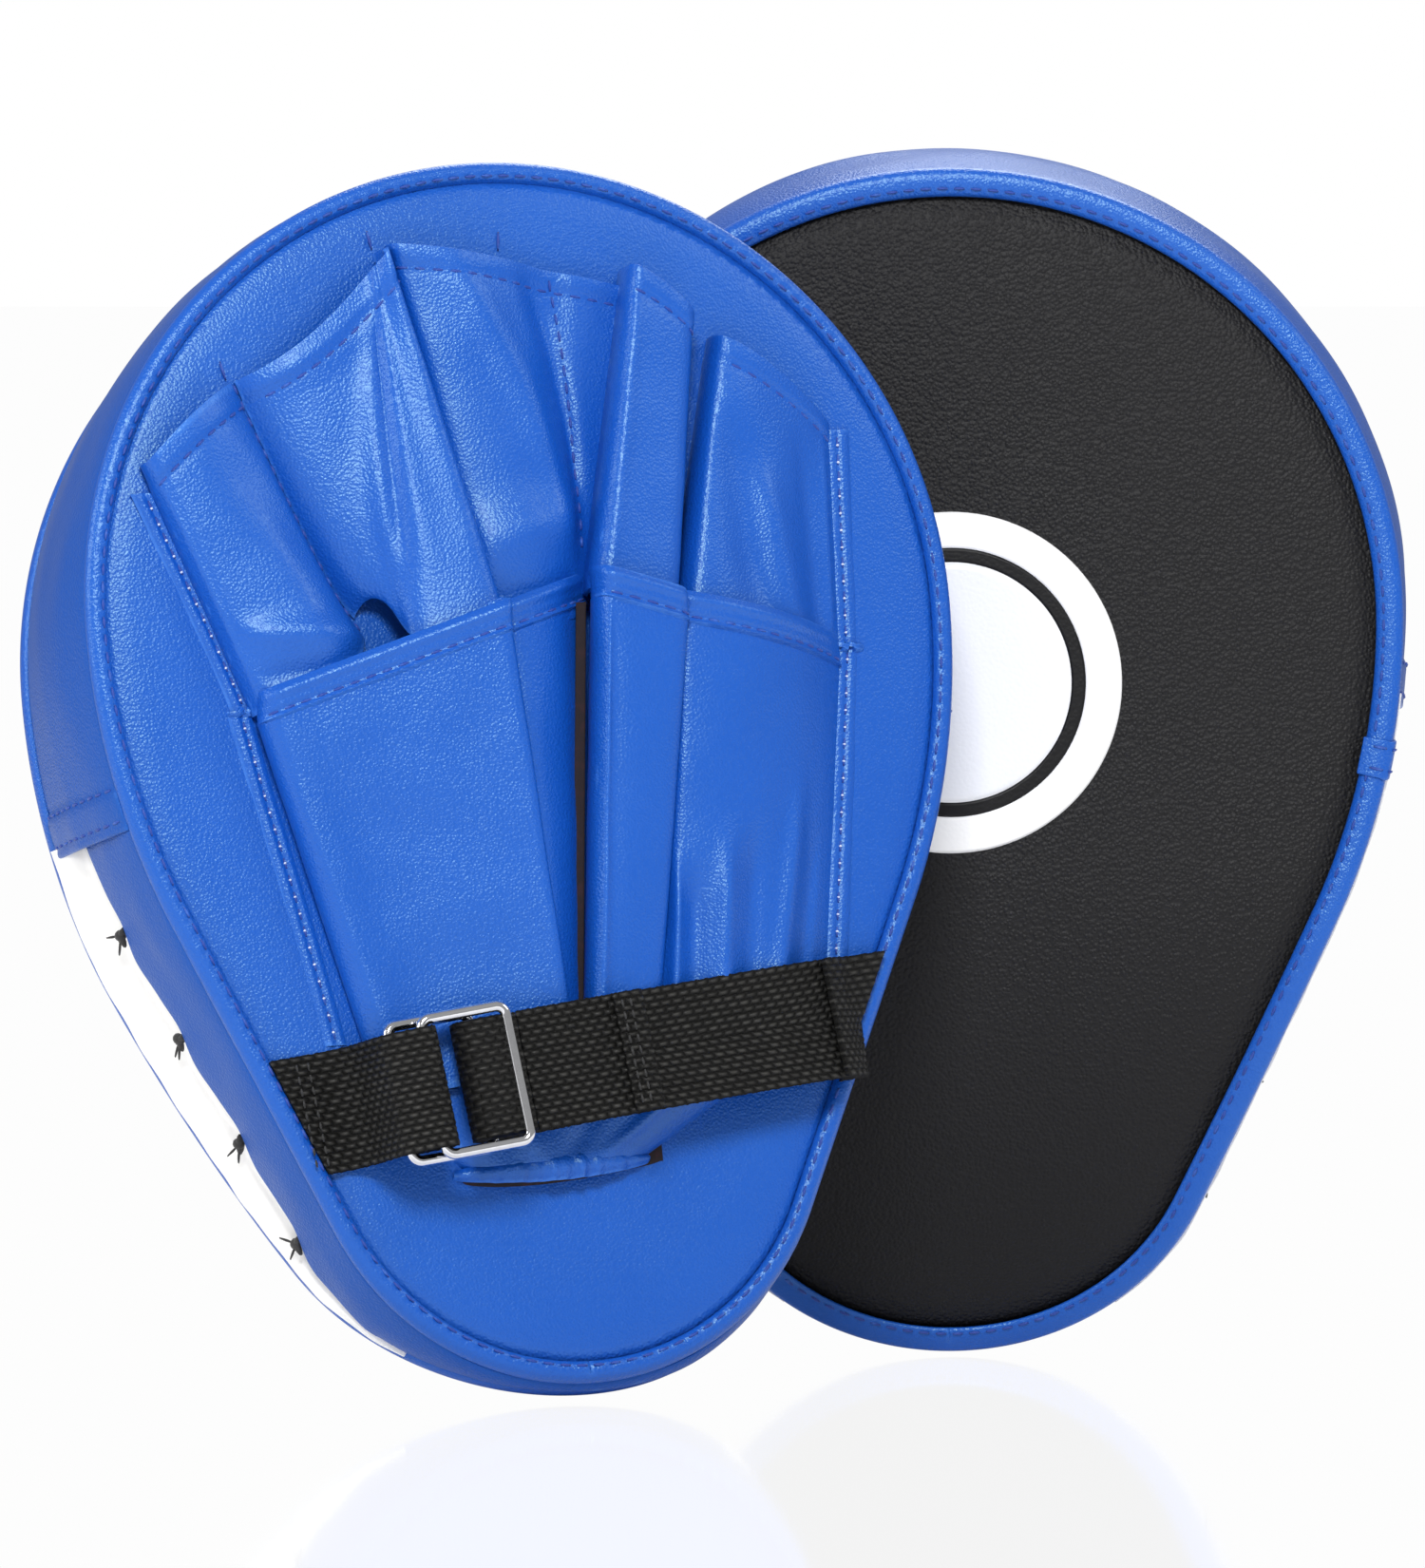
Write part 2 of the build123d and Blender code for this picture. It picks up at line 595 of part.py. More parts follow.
thumb_low, thumb_high = STALL_SECTIONS["thumb_stall"]
little_low, little_high = STALL_SECTIONS["little_stall"]
thumb_corner = COVER_PANELS["thumb_cover"][0][0]
outer_corner = COVER_PANELS["outer_cover"][0][1]
half_strap_rise = WEBBING_WIDTH / 2 / math.cos(math.radians(STRAP_ANGLE))
welt_foot = on_strap_line(POCKET_RIGHT)[1] + half_strap_rise + WELT_STRAP_GAP
thumb_start = foot_at(on_strap_line(POCKET_LEFT), thumb_corner, welt_foot)
outer_start = foot_at(on_strap_line(POCKET_RIGHT), outer_corner, welt_foot)
THUMB_WELT = [thumb_start, thumb_corner, thumb_low[0], blend(thumb_low[0], thumb_high[0], 0.9)]
LITTLE_WELT = [outer_start, outer_corner, little_low[1], little_high[1]]
with BuildPart() as cover_side_welts:
    for points, side in ((THUMB_WELT, -1), (LITTLE_WELT, 1)):
        with BuildSketch(Plane.XZ):
            with BuildLine():
                Polyline(*welt_polygon(points, side), close=True)
            make_face()
    extrude(amount=WELT_THICKNESS)
pieces["cover_side_welts"] = cover_side_welts.part

# ---------------------------------------------------------------- wrist strap and its rings
half_webbing = WEBBING_THICKNESS / 2
with BuildPart() as strap_field:
    extrude(outline(BACK_SEAM_WIDTH + BAND_GAP), amount=THICKNESS)
loop_inner = WIRE_RADIUS + LOOP_CLEARANCE
loop_outer = loop_inner + WEBBING_THICKNESS
bar_run = Vector(OUTER_RING_BAR - INNER_RING_BAR, OUTER_RING_LIFT)
bar_tilt = math.degrees(math.atan2(bar_run.Y, bar_run.X))
loop_middle = (INNER_RING_BAR + bar_run.X / 2, RING_LEVEL + bar_run.Y / 2)
with BuildPart() as strap_anchor_loop:
    with BuildSketch(STRAP_PLANE):
        with Locations(loop_middle):
            SlotCenterToCenter(bar_run.length, 2 * loop_outer, rotation=bar_tilt)
        with BuildLine():
            Polyline(
                (-SEWN_LENGTH, 0),
                (SEWN_LENGTH + WEBBING_THICKNESS, 0),
                (INNER_RING_BAR, RING_LEVEL - loop_outer + half_webbing / 2),
                (INNER_RING_BAR - loop_outer + half_webbing / 2, RING_LEVEL),
                (SEWN_LENGTH, WEBBING_THICKNESS),
                (-SEWN_LENGTH, WEBBING_THICKNESS),
                close=True,
            )
        make_face()
        with Locations(loop_middle):
            SlotCenterToCenter(bar_run.length, 2 * loop_inner, rotation=bar_tilt, mode=Mode.SUBTRACT)
    extrude(amount=WEBBING_WIDTH / 2, both=True)
    add(strap_field.part, mode=Mode.INTERSECT)
pieces["strap_anchor_loop"] = strap_anchor_loop.part

pieces["inner_ring"] = wire_ring(ring_plane(INNER_RING_BAR, RING_LEVEL, 0))
pieces["outer_ring"] = wire_ring(ring_plane(OUTER_RING_BAR, RING_LEVEL + OUTER_RING_LIFT, OUTER_RING_TILT))

crest = RING_LEVEL + STRAP_CREST_RISE
wrap_turn = INNER_RING_FAR_BAR - WRAP_RADIUS
right_foot = (POCKET_RIGHT - STRAP_ORIGIN[0]) / math.cos(math.radians(STRAP_ANGLE)) + STRAP_FOOT_MARGIN
STRAP_ROUTE = (
    (WIDTH, half_webbing),
    (right_foot, half_webbing),
    (right_foot - STRAP_FOOT_MARGIN, POCKET_SHOULDER + STRAP_KNEE_RISE),
    (right_foot - 3 * STRAP_FOOT_MARGIN, POCKET_CROWN + STRAP_COVER_GAP),
    (TAIL_START + TAIL_LENGTH, crest),
    (TAIL_START + TAIL_LENGTH / 2, crest),
    (TAIL_START, RING_LEVEL - WRAP_RADIUS),
    (wrap_turn, RING_LEVEL - WRAP_RADIUS),
    (wrap_turn, RING_LEVEL + WRAP_RADIUS),
    (TAIL_START - TAIL_SLIT, RING_LEVEL + WRAP_RADIUS),
)
WRAP_FILLET = WRAP_RADIUS - 0.05
STRAP_FILLETS = (1.5, 4.0, 8.0, 8.0, 6.0, 6.0, WRAP_FILLET, WRAP_FILLET)
with BuildPart() as wrist_strap:
    with BuildLine(STRAP_PLANE) as strap_route:
        FilletPolyline(*STRAP_ROUTE, radius=STRAP_FILLETS)
    strap_start = strap_route.wire() @ 0
    with BuildSketch(Plane(origin=strap_start, x_dir=V_AXIS, z_dir=-U_AXIS)):
        Rectangle(WEBBING_WIDTH, WEBBING_THICKNESS)
    sweep(path=strap_route.wire())
    add(strap_field.part, mode=Mode.INTERSECT)
pieces["wrist_strap"] = wrist_strap.part

tail_top = RING_LEVEL + WRAP_RADIUS + half_webbing
tail_root = (TAIL_START + half_webbing, tail_top - half_webbing)
with BuildPart() as strap_tail:
    with BuildSketch(STRAP_PLANE):
        with Locations(tail_root):
            Circle(half_webbing)
        with BuildLine():
            Polyline(
                (tail_root[0], tail_top),
                (tail_root[0], tail_top - WEBBING_THICKNESS),
                (TAIL_START + TAIL_LENGTH, tail_top - WEBBING_THICKNESS - TAIL_DROP),
                (TAIL_START + TAIL_LENGTH, tail_top + WEBBING_THICKNESS - TAIL_DROP),
                (TAIL_START + TAIL_LENGTH - TAIL_FOLD, tail_top + WEBBING_THICKNESS - TAIL_DROP),
                (TAIL_START + TAIL_LENGTH - TAIL_FOLD, tail_top - TAIL_DROP),
                close=True,
            )
        make_face()
    extrude(amount=WEBBING_WIDTH / 2, both=True)
pieces["strap_tail"] = strap_tail.part


# ---------------------------------------------------------------- placing the pair
def right_turn() -> Location:
    """Turn of the right mitt: yaw first, then the lean back, then the roll."""
    return Rotation(0, -RIGHT_ROLL, 0) * Rotation(-RIGHT_LEAN, 0, 0) * Rotation(0, 0, RIGHT_YAW)


def left_turn() -> Location:
    """Turn of the left mitt: round to show its striking face, then its own lean back."""
    return Rotation(-LEFT_LEAN, 0, 0) * Rotation(0, 0, 180)


def pair_depth() -> float:
    """How far the left mitt's tip stands behind the right mitt's, so that the two just clear."""
    yaw, lean, left_lean = (math.radians(a) for a in (RIGHT_YAW, RIGHT_LEAN, LEFT_LEAN))
    corner_depth = THICKNESS * math.cos(yaw)
    needs = []
    for step in range(int(HEIGHT)):
        level = step - WALL_SHEAR * THICKNESS
        corner = half_width(step) * math.sin(yaw) + corner_depth
        reach_back = corner * math.cos(lean) + level * math.sin(lean)
        needs.append(reach_back + THICKNESS * math.cos(left_lean) - level * math.tan(left_lean))
    return max(needs) + TARGET_THICKNESS + PAIR_GAP


with BuildPart() as whole_body:
    add(outer_wall)
    add(whole_depth, mode=Mode.INTERSECT)
right_lowest = whole_body.part.moved(right_turn()).bounding_box().min.Z
left_lowest = whole_body.part.moved(left_turn()).bounding_box().min.Z
palm_offset = right_turn() * Location(PALM_POINT)
right_place = Location(-palm_offset.position) * right_turn()
left_offset = Vector(LEFT_SIDESTEP, pair_depth(), right_lowest - left_lowest) - palm_offset.position
left_place = Location(left_offset) * left_turn()

os.makedirs("parts", exist_ok=True)
for name, piece in pieces.items():
    mirrored = mirror(piece, about=Plane.YZ)
    for hand, placed in (("right", piece.moved(right_place)), ("left", mirrored.moved(left_place))):
        placed.label = f"{hand}_{name}"
        export_step(placed, f"parts/{hand}_{name}.step")
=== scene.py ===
"""A pair of curved focus mitts: leather, foam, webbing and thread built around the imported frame.

Every sewn piece is shaped once, in millimetres, in the frame of the right-hand mitt: x to the
little-finger side, y from the back towards the striking face, z up from the lower tip. The left-hand
mitt gets the mirror image. The places a and b on a sheet run from 0 to 1.
"""
import json
import logging
import math
from dataclasses import dataclass
from enum import Enum
from functools import lru_cache
from typing import Callable, ClassVar, Optional, Union

import bmesh
import bpy
from bmesh.types import BMesh
from bpy.types import Material, Node, NodeSocket, NodeTree, Object
from mathutils import Matrix, Vector, noise


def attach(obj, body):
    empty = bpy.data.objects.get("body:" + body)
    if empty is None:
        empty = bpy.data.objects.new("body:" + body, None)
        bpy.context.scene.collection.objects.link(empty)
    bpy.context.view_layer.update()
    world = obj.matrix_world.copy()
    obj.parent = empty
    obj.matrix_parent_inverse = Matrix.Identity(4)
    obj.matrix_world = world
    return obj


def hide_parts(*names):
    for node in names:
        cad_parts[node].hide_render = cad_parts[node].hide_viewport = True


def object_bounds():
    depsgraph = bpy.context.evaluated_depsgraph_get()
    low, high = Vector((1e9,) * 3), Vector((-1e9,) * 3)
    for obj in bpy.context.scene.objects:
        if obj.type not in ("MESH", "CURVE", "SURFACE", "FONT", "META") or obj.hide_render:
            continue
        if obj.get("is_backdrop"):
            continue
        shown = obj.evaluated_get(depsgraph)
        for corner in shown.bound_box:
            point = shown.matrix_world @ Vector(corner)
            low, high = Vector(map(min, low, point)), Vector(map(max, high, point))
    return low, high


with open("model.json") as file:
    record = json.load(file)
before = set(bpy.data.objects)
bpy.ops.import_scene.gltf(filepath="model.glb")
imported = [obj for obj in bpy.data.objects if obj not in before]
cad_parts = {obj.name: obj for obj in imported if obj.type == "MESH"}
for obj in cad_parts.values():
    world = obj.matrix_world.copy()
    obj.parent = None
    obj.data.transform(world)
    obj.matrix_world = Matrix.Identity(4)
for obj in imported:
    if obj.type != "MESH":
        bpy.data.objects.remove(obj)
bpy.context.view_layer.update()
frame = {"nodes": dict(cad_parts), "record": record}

LOG = logging.getLogger("focus_mitts")
MM = 0.001
OFF_THE_BACK = Vector((0.0, -1.0, 0.0))
WEAVE_ROW = 1.36  # width of a row of the weave
WEAVE_GRAIN = 2.5  # length of a grain of the weave
WALL_START = 1.6  # depth at which the side walls start
ROUND_STEPS = 900  # steps of a seam round the outline
HEM_ROWS = (2.4, 8.9)  # distances of a hem's two rows from its edge
STRAP_START = (-55.0, 56.0)  # the strap's zero point on the mitt, x and z
STRAP_SLOPE = 7.2  # slope of the strap in degrees
Pair = tuple[float, float]
Place = Callable[[float, float], Vector]


class Hand(Enum):
    """Which hand a mitt is for."""

    RIGHT = "right"
    LEFT = "left"


class Way(Enum):
    """Which way a crease runs on a panel."""

    UP = "up"
    ACROSS = "across"


# -------- small maths
def ease(value: float, start: float, end: float) -> float:
    """Smooth step from 0 at start to 1 at end."""
    share = min(1.0, max(0.0, (value - start) / (end - start)))
    return share * share * (3.0 - 2.0 * share)


def mix(low: float, high: float, share: float) -> float:
    """The value that lies the given share of the way from low to high."""
    return low + (high - low) * share


def mix_pair(low: Pair, high: Pair, share: float) -> Pair:
    """The pair that lies the given share of the way from low to high."""
    return mix(low[0], high[0], share), mix(low[1], high[1], share)


def smooth_through(points: tuple[Pair, ...], share: float) -> Pair:
    """A point on the smooth line through the given points.

    Args:
        points: The points that the line goes through, in order.
        share: Place along the line, 0 at the first point and 1 at the last.

    Returns:
        The two coordinates of the point.
    """
    last = len(points) - 1
    position = min(max(share, 0.0), 1.0) * last
    index = min(int(position), last - 1)
    t = position - index
    before = points[max(index - 1, 0)]
    start, end = points[index], points[index + 1]
    after = points[min(index + 2, last)]
    square, cube = t * t, t * t * t
    return tuple(
        0.5 * (2 * start[k] + (end[k] - before[k]) * t
               + (2 * before[k] - 5 * start[k] + 4 * end[k] - after[k]) * square
               + (3 * start[k] - before[k] - 3 * end[k] + after[k]) * cube)
        for k in (0, 1)
    )


def ripple(x: float, z: float, size: float, seed: float) -> float:
    """Slow uneven swelling of soft leather, from about -1 to 1, with bumps of the given size."""
    return noise.noise(Vector((x / size, z / size, seed)))


# -------- the mitt's body
@dataclass(frozen=True)
class MittBody:
    """Sizes of the padded body, with its outline, side wall and bent front.

    Attributes:
        width: Widest size across.
        height: Height of the back.
        thickness: Depth over the upper part.
        bend_height: Height at which the front starts to bend back.
        bend_radius: Radius of that bend.
        side_radius: Radius of the sides below the widest point.
        tip_radius: Radius of the lower tip.
        taper: Angle of the straight taper's outward normal, in degrees.
        shear: How much the side wall drops for each step of depth.
        seam_width: Width of the stitched seam round the back.
        binding_width: Width of the binding on the face.
        skirt: Width of the binding on the side wall.
        thumb_hem: Height of the upper wall's hem on the thumb side.
        little_hem: Height of that hem on the little-finger side.
    """

    width: float = 186.0
    height: float = 250.0
    thickness: float = 45.0
    bend_height: float = 98.0
    bend_radius: float = 154.7
    side_radius: float = 148.0
    tip_radius: float = 56.0
    taper: float = -24.557
    shear: float = 0.18
    seam_width: float = 4.0
    binding_width: float = 4.5
    skirt: float = 3.3
    thumb_hem: float = 116.0
    little_hem: float = 132.0

    @property
    def half(self) -> float:
        """Half of the width."""
        return self.width / 2

    @property
    def top_centre(self) -> float:
        """Height of the widest point."""
        return self.height - self.half

    @property
    def runs(self) -> tuple[float, float, float, float]:
        """Lengths of the tip arc, the taper, the side arc and the top arc on one side.

        Returns:
            The four lengths.
        """
        turn = math.radians(-self.taper)
        rise = self.top_centre - self.side_radius * math.sin(turn)
        foot = self.tip_radius * (1 - math.sin(turn))
        return (
            self.tip_radius * (math.pi / 2 - turn),
            (rise - foot) / math.cos(turn),
            self.side_radius * turn,
            self.half * math.pi / 2,
        )

    @property
    def girth(self) -> float:
        """Length of the whole outline."""
        return 2 * sum(self.runs)

    def rim(self, share: float) -> tuple[float, float, float, float]:
        """A point of the outline and its outward normal.

        Args:
            share: Place round the outline from 0 at the tip, up the little-finger side to 0.5 at
                the top, and down the thumb side to 1.

        Returns:
            x, z, and the normal's x and z.
        """
        share = share % 1.0
        side = 1.0 if share <= 0.5 else -1.0
        length = (share if share <= 0.5 else 1.0 - share) * self.girth
        tip, taper, flank, _ = self.runs
        turn = math.radians(self.taper)
        nx, nz = math.cos(turn), math.sin(turn)
        if length < tip:
            angle = -math.pi / 2 + length / self.tip_radius
            nx, nz = math.cos(angle), math.sin(angle)
            x, z = self.tip_radius * nx, self.tip_radius * (1 + nz)
        elif length < tip + taper:
            run = length - tip
            x, z = self.tip_radius * nx - nz * run, self.tip_radius * (1 + nz) + nx * run
        elif length < tip + taper + flank:
            angle = turn + (length - tip - taper) / self.side_radius
            nx, nz = math.cos(angle), math.sin(angle)
            x = self.half - self.side_radius + self.side_radius * nx
            z = self.top_centre + self.side_radius * nz
        else:
            angle = (length - tip - taper - flank) / self.half
            nx, nz = math.cos(angle), math.sin(angle)
            x, z = self.half * nx, self.top_centre + self.half * nz
        return side * x, z, side * nx, nz

    def share_at(self, z: float) -> float:
        """Place round the outline, on the little-finger side, at the height z.

        Args:
            z: Height of the place.

        Returns:
            The share of the outline, from its lower tip.
        """
        tip, taper, flank, _ = self.runs
        turn = math.radians(self.taper)
        foot = self.tip_radius * (1 + math.sin(turn))
        rise = self.top_centre + self.side_radius * math.sin(turn)
        if z < foot:
            length = self.tip_radius * math.acos(max(-1.0, 1 - z / self.tip_radius))
        elif z < rise:
            length = tip + (z - foot) / math.cos(turn)
        elif z < self.top_centre:
            angle = math.asin((z - self.top_centre) / self.side_radius)
            length = tip + taper + (angle - turn) * self.side_radius
        else:
            angle = math.asin(min(1.0, (z - self.top_centre) / self.half))
            length = tip + taper + flank + angle * self.half
        return length / self.girth

    def half_width(self, z: float) -> float:
        """Half width of the outline at the height z."""
        return self.rim(self.share_at(z))[0]

    def front(self, z: float) -> float:
        """Depth of the bent front at the height z."""
        drop = max(0.0, self.bend_height - z)
        return self.thickness - self.bend_radius + math.sqrt(self.bend_radius**2 - drop**2)

    def rim_depth(self, share: float, inset: float = 0.0) -> float:
        """Depth at which the sheared wall meets the front, at that place of the outline.

        Args:
            share: Place round the outline.
            inset: How far the place lies inside the outline.

        Returns:
            The depth.
        """
        _, z, _, nz = self.rim(share)
        depth = self.thickness
        for _ in range(6):
            depth = self.front(z - nz * inset - self.shear * depth)
        return depth

    def wall(self, share: float, depth: float, out: float = 0.0) -> Vector:
        """A point of the side wall at the given depth, moved outwards."""
        x, z, nx, nz = self.rim(share)
        return Vector((x + nx * out, depth, z + nz * out - self.shear * depth))

    def on_front(self, share: float, inset: float, lift: float) -> Vector:
        """A point on the front, in from its edge by the inset and lifted off it.

        Args:
            share: Place round the outline.
            inset: Distance in from the front's edge.
            lift: Distance off the front.

        Returns:
            The point.
        """
        x, z, nx, nz = self.rim(share)
        depth = self.rim_depth(share, inset)
        return Vector((x - nx * inset, depth + lift, z - nz * inset - self.shear * depth))


BODY = MittBody()


# -------- placing the two mitts
@dataclass(frozen=True)
class Stand:
    """How one mitt stands in the shared frame: yaw, then lean, then roll, in degrees.

    Attributes:
        hand: Which mitt it is.
        yaw: Turn about the upright.
        lean: Lean forwards or backwards.
        roll: Turn in the plane of the back.
        palm_rest: The point that the mitt is turned about, in its own millimetres.
    """

    hand: Hand
    yaw: float
    lean: float
    roll: float
    palm_rest: tuple[float, float, float] = (5.0, 0.0, 110.0)

    def matrix(self) -> Matrix:
        """The transform from the right-hand mitt's millimetres to the shared frame's metres.

        Returns:
            The transform.
        """
        turn = (
            Matrix.Rotation(math.radians(-self.roll), 4, "Y")
            @ Matrix.Rotation(math.radians(-self.lean), 4, "X")
            @ Matrix.Rotation(math.radians(self.yaw), 4, "Z")
        )
        mounts = {mount["name"]: mount for mount in frame["record"]["mounts"]}
        palm = Vector(mounts[f"{self.hand.value}_hand_pocket"]["pos_m"])
        side = -1.0 if self.hand is Hand.LEFT else 1.0
        mirrored = Matrix.Diagonal((side * MM, MM, MM, 1.0))
        rest = Vector(self.palm_rest)
        return Matrix.Translation(palm) @ turn @ mirrored @ Matrix.Translation(-rest)


STANDS = (
    Stand(Hand.RIGHT, yaw=21.0, lean=10.0, roll=5.1),
    Stand(Hand.LEFT, yaw=180.0, lean=5.0, roll=0.0),
)


# -------- mesh helpers
def grid_sheet(columns: int, rows: int, place: Place, facing: Callable[[Vector], Vector],
               closed: bool = False) -> BMesh:
    """Lays a grid over a surface.

    Args:
        columns: Faces across.
        rows: Faces along.
        place: Gives the point for a place across and along, each from 0 to 1.
        facing: Gives the direction that the sheet should face at a point.
        closed: True where edges of the grid meet and have to be joined.

    Returns:
        The sheet, with a UV map of its place across and along.
    """
    bm = bmesh.new()
    bmesh.ops.create_grid(bm, x_segments=columns, y_segments=rows, size=1.0)
    layer = bm.loops.layers.uv.new("sheet")
    for face in bm.faces:
        for loop in face.loops:
            loop[layer].uv = ((loop.vert.co.x + 1) / 2, (loop.vert.co.y + 1) / 2)
    for vert in bm.verts:
        vert.co = place((vert.co.x + 1) / 2, (vert.co.y + 1) / 2)
    if closed:
        bmesh.ops.remove_doubles(bm, verts=bm.verts, dist=1e-3)
    bm.normal_update()
    score = sum(face.normal.dot(facing(face.calc_center_median())) * face.calc_area() for face in bm.faces)
    if score < 0:
        bmesh.ops.reverse_faces(bm, faces=bm.faces)
    return bm


def off_back(_: Vector) -> Vector:
    """Pieces on the back face away from it."""
    return OFF_THE_BACK


def towards_front(_: Vector) -> Vector:
    """Pieces on the striking face face forwards."""
    return -OFF_THE_BACK


def from_middle(point: Vector) -> Vector:
    """Pieces round the body face away from its middle."""
    return point - Vector((0.0, 20.0, 125.0))


@dataclass(frozen=True)
class Thread:
    """Sewing thread.

    Attributes:
        length: Length of a visible stitch.
        pitch: Distance from one stitch to the next.
        radius: Radius of the thread.
    """

    length: float = 2.5
    pitch: float = 3.5
    radius: float = 0.32

    def sew(self, bm: BMesh, points: list[Vector], normals: list[Vector]) -> None:
        """Adds stitches along a line of points on a surface.

        Args:
            bm: Mesh that takes the stitches.
            points: Points along the seam.
            normals: Normals of the surface at the points.
        """
        if len(points) < 2:
            return
        reach = [0.0]
        for first, second in zip(points, points[1:]):
            reach.append(reach[-1] + (second - first).length)
        count = max(1, int(reach[-1] / self.pitch))
        step = reach[-1] / count
        index = 0
        for number in range(count):
            middle = (number + 0.5) * step
            while index < len(reach) - 2 and reach[index + 1] < middle:
                index += 1
            span = max(reach[index + 1] - reach[index], 1e-6)
            share = (middle - reach[index]) / span
            centre = points[index].lerp(points[index + 1], share)
            along = (points[index + 1] - points[index]).normalized()
            self.stitch(bm, centre, along, normals[index], self.length * step / self.pitch)

    def stitch(self, bm: BMesh, centre: Vector, along: Vector, normal: Vector,
               length: float) -> None:
        """Adds one stitch, a short rounded dash that lies on the surface.

        Args:
            bm: Mesh that takes the stitch.
            centre: Its middle.
            along: Its direction.
            normal: Normal of the surface.
            length: Its length.
        """
        side = normal.cross(along).normalized()
        up = along.cross(side).normalized()
        basis = Matrix((along * length / 2, side * self.radius, up * self.radius)).transposed().to_4x4()
        bmesh.ops.create_uvsphere(bm, u_segments=6, v_segments=4, radius=1.0,
                                  matrix=Matrix.Translation(centre + up * self.radius * 0.15) @ basis)


def sew_on(bm: BMesh, place: Place, start: Pair, end: Pair, thread: Thread,
           facing: Vector, bow: float = 0.0) -> None:
    """Sews a row of stitches on a surface.

    Args:
        bm: Mesh that takes the stitches.
        place: The surface.
        start: Place across and along where the row starts.
        end: Place across and along where it ends.
        thread: The thread.
        facing: Rough direction of the surface.
        bow: How far the row bows off the straight line, as a share along.
    """
    points, normals = [], []
    steps = 60
    for step in range(steps + 1):
        share = step / steps
        a, b = mix_pair(start, end, share)
        b += bow * 4 * share * (1 - share)
        here = place(a, b)
        nudge = 0.004
        across = place(min(a + nudge, 1.0), b) - place(max(a - nudge, 0.0), b)
        along = place(a, min(b + nudge, 1.0)) - place(a, max(b - nudge, 0.0))
        normal = across.cross(along)
        if normal.length < 1e-9:
            normal = facing.copy()
        normal.normalize()
        if normal.dot(facing) < 0:
            normal.negate()
        points.append(here)
        normals.append(normal)
    thread.sew(bm, points, normals)


# -------- shared shader effects
def add_node(tree: NodeTree, kind: str, values: dict[object, object],
             **settings: object) -> Node:
    """Adds a shader node.

    Args:
        tree: The tree that takes it.
        kind: Its type, without the common start of the name.
        values: For each input, a number, a colour or the socket that feeds it.
        **settings: Its other settings.

    Returns:
        The node.
    """
    node = tree.nodes.new(f"ShaderNode{kind}")
    for name, value in settings.items():
        setattr(node, name, value)
    for name, value in values.items():
        if isinstance(value, NodeSocket):
            tree.links.new(value, node.inputs[name])
        else:
            node.inputs[name].default_value = value
    return node


def add_sum(tree: NodeTree, operation: str, *terms: object,
            clamped: bool = False) -> NodeSocket:
    """Adds a Math node.

    Args:
        tree: The tree that takes it.
        operation: Its operation.
        *terms: Numbers or sockets, in the order of its inputs.
        clamped: True where the result is kept from 0 to 1.

    Returns:
        The socket of the result.
    """
    values = dict(enumerate(terms))
    return add_node(tree, "Math", values, operation=operation, use_clamp=clamped).outputs[0]


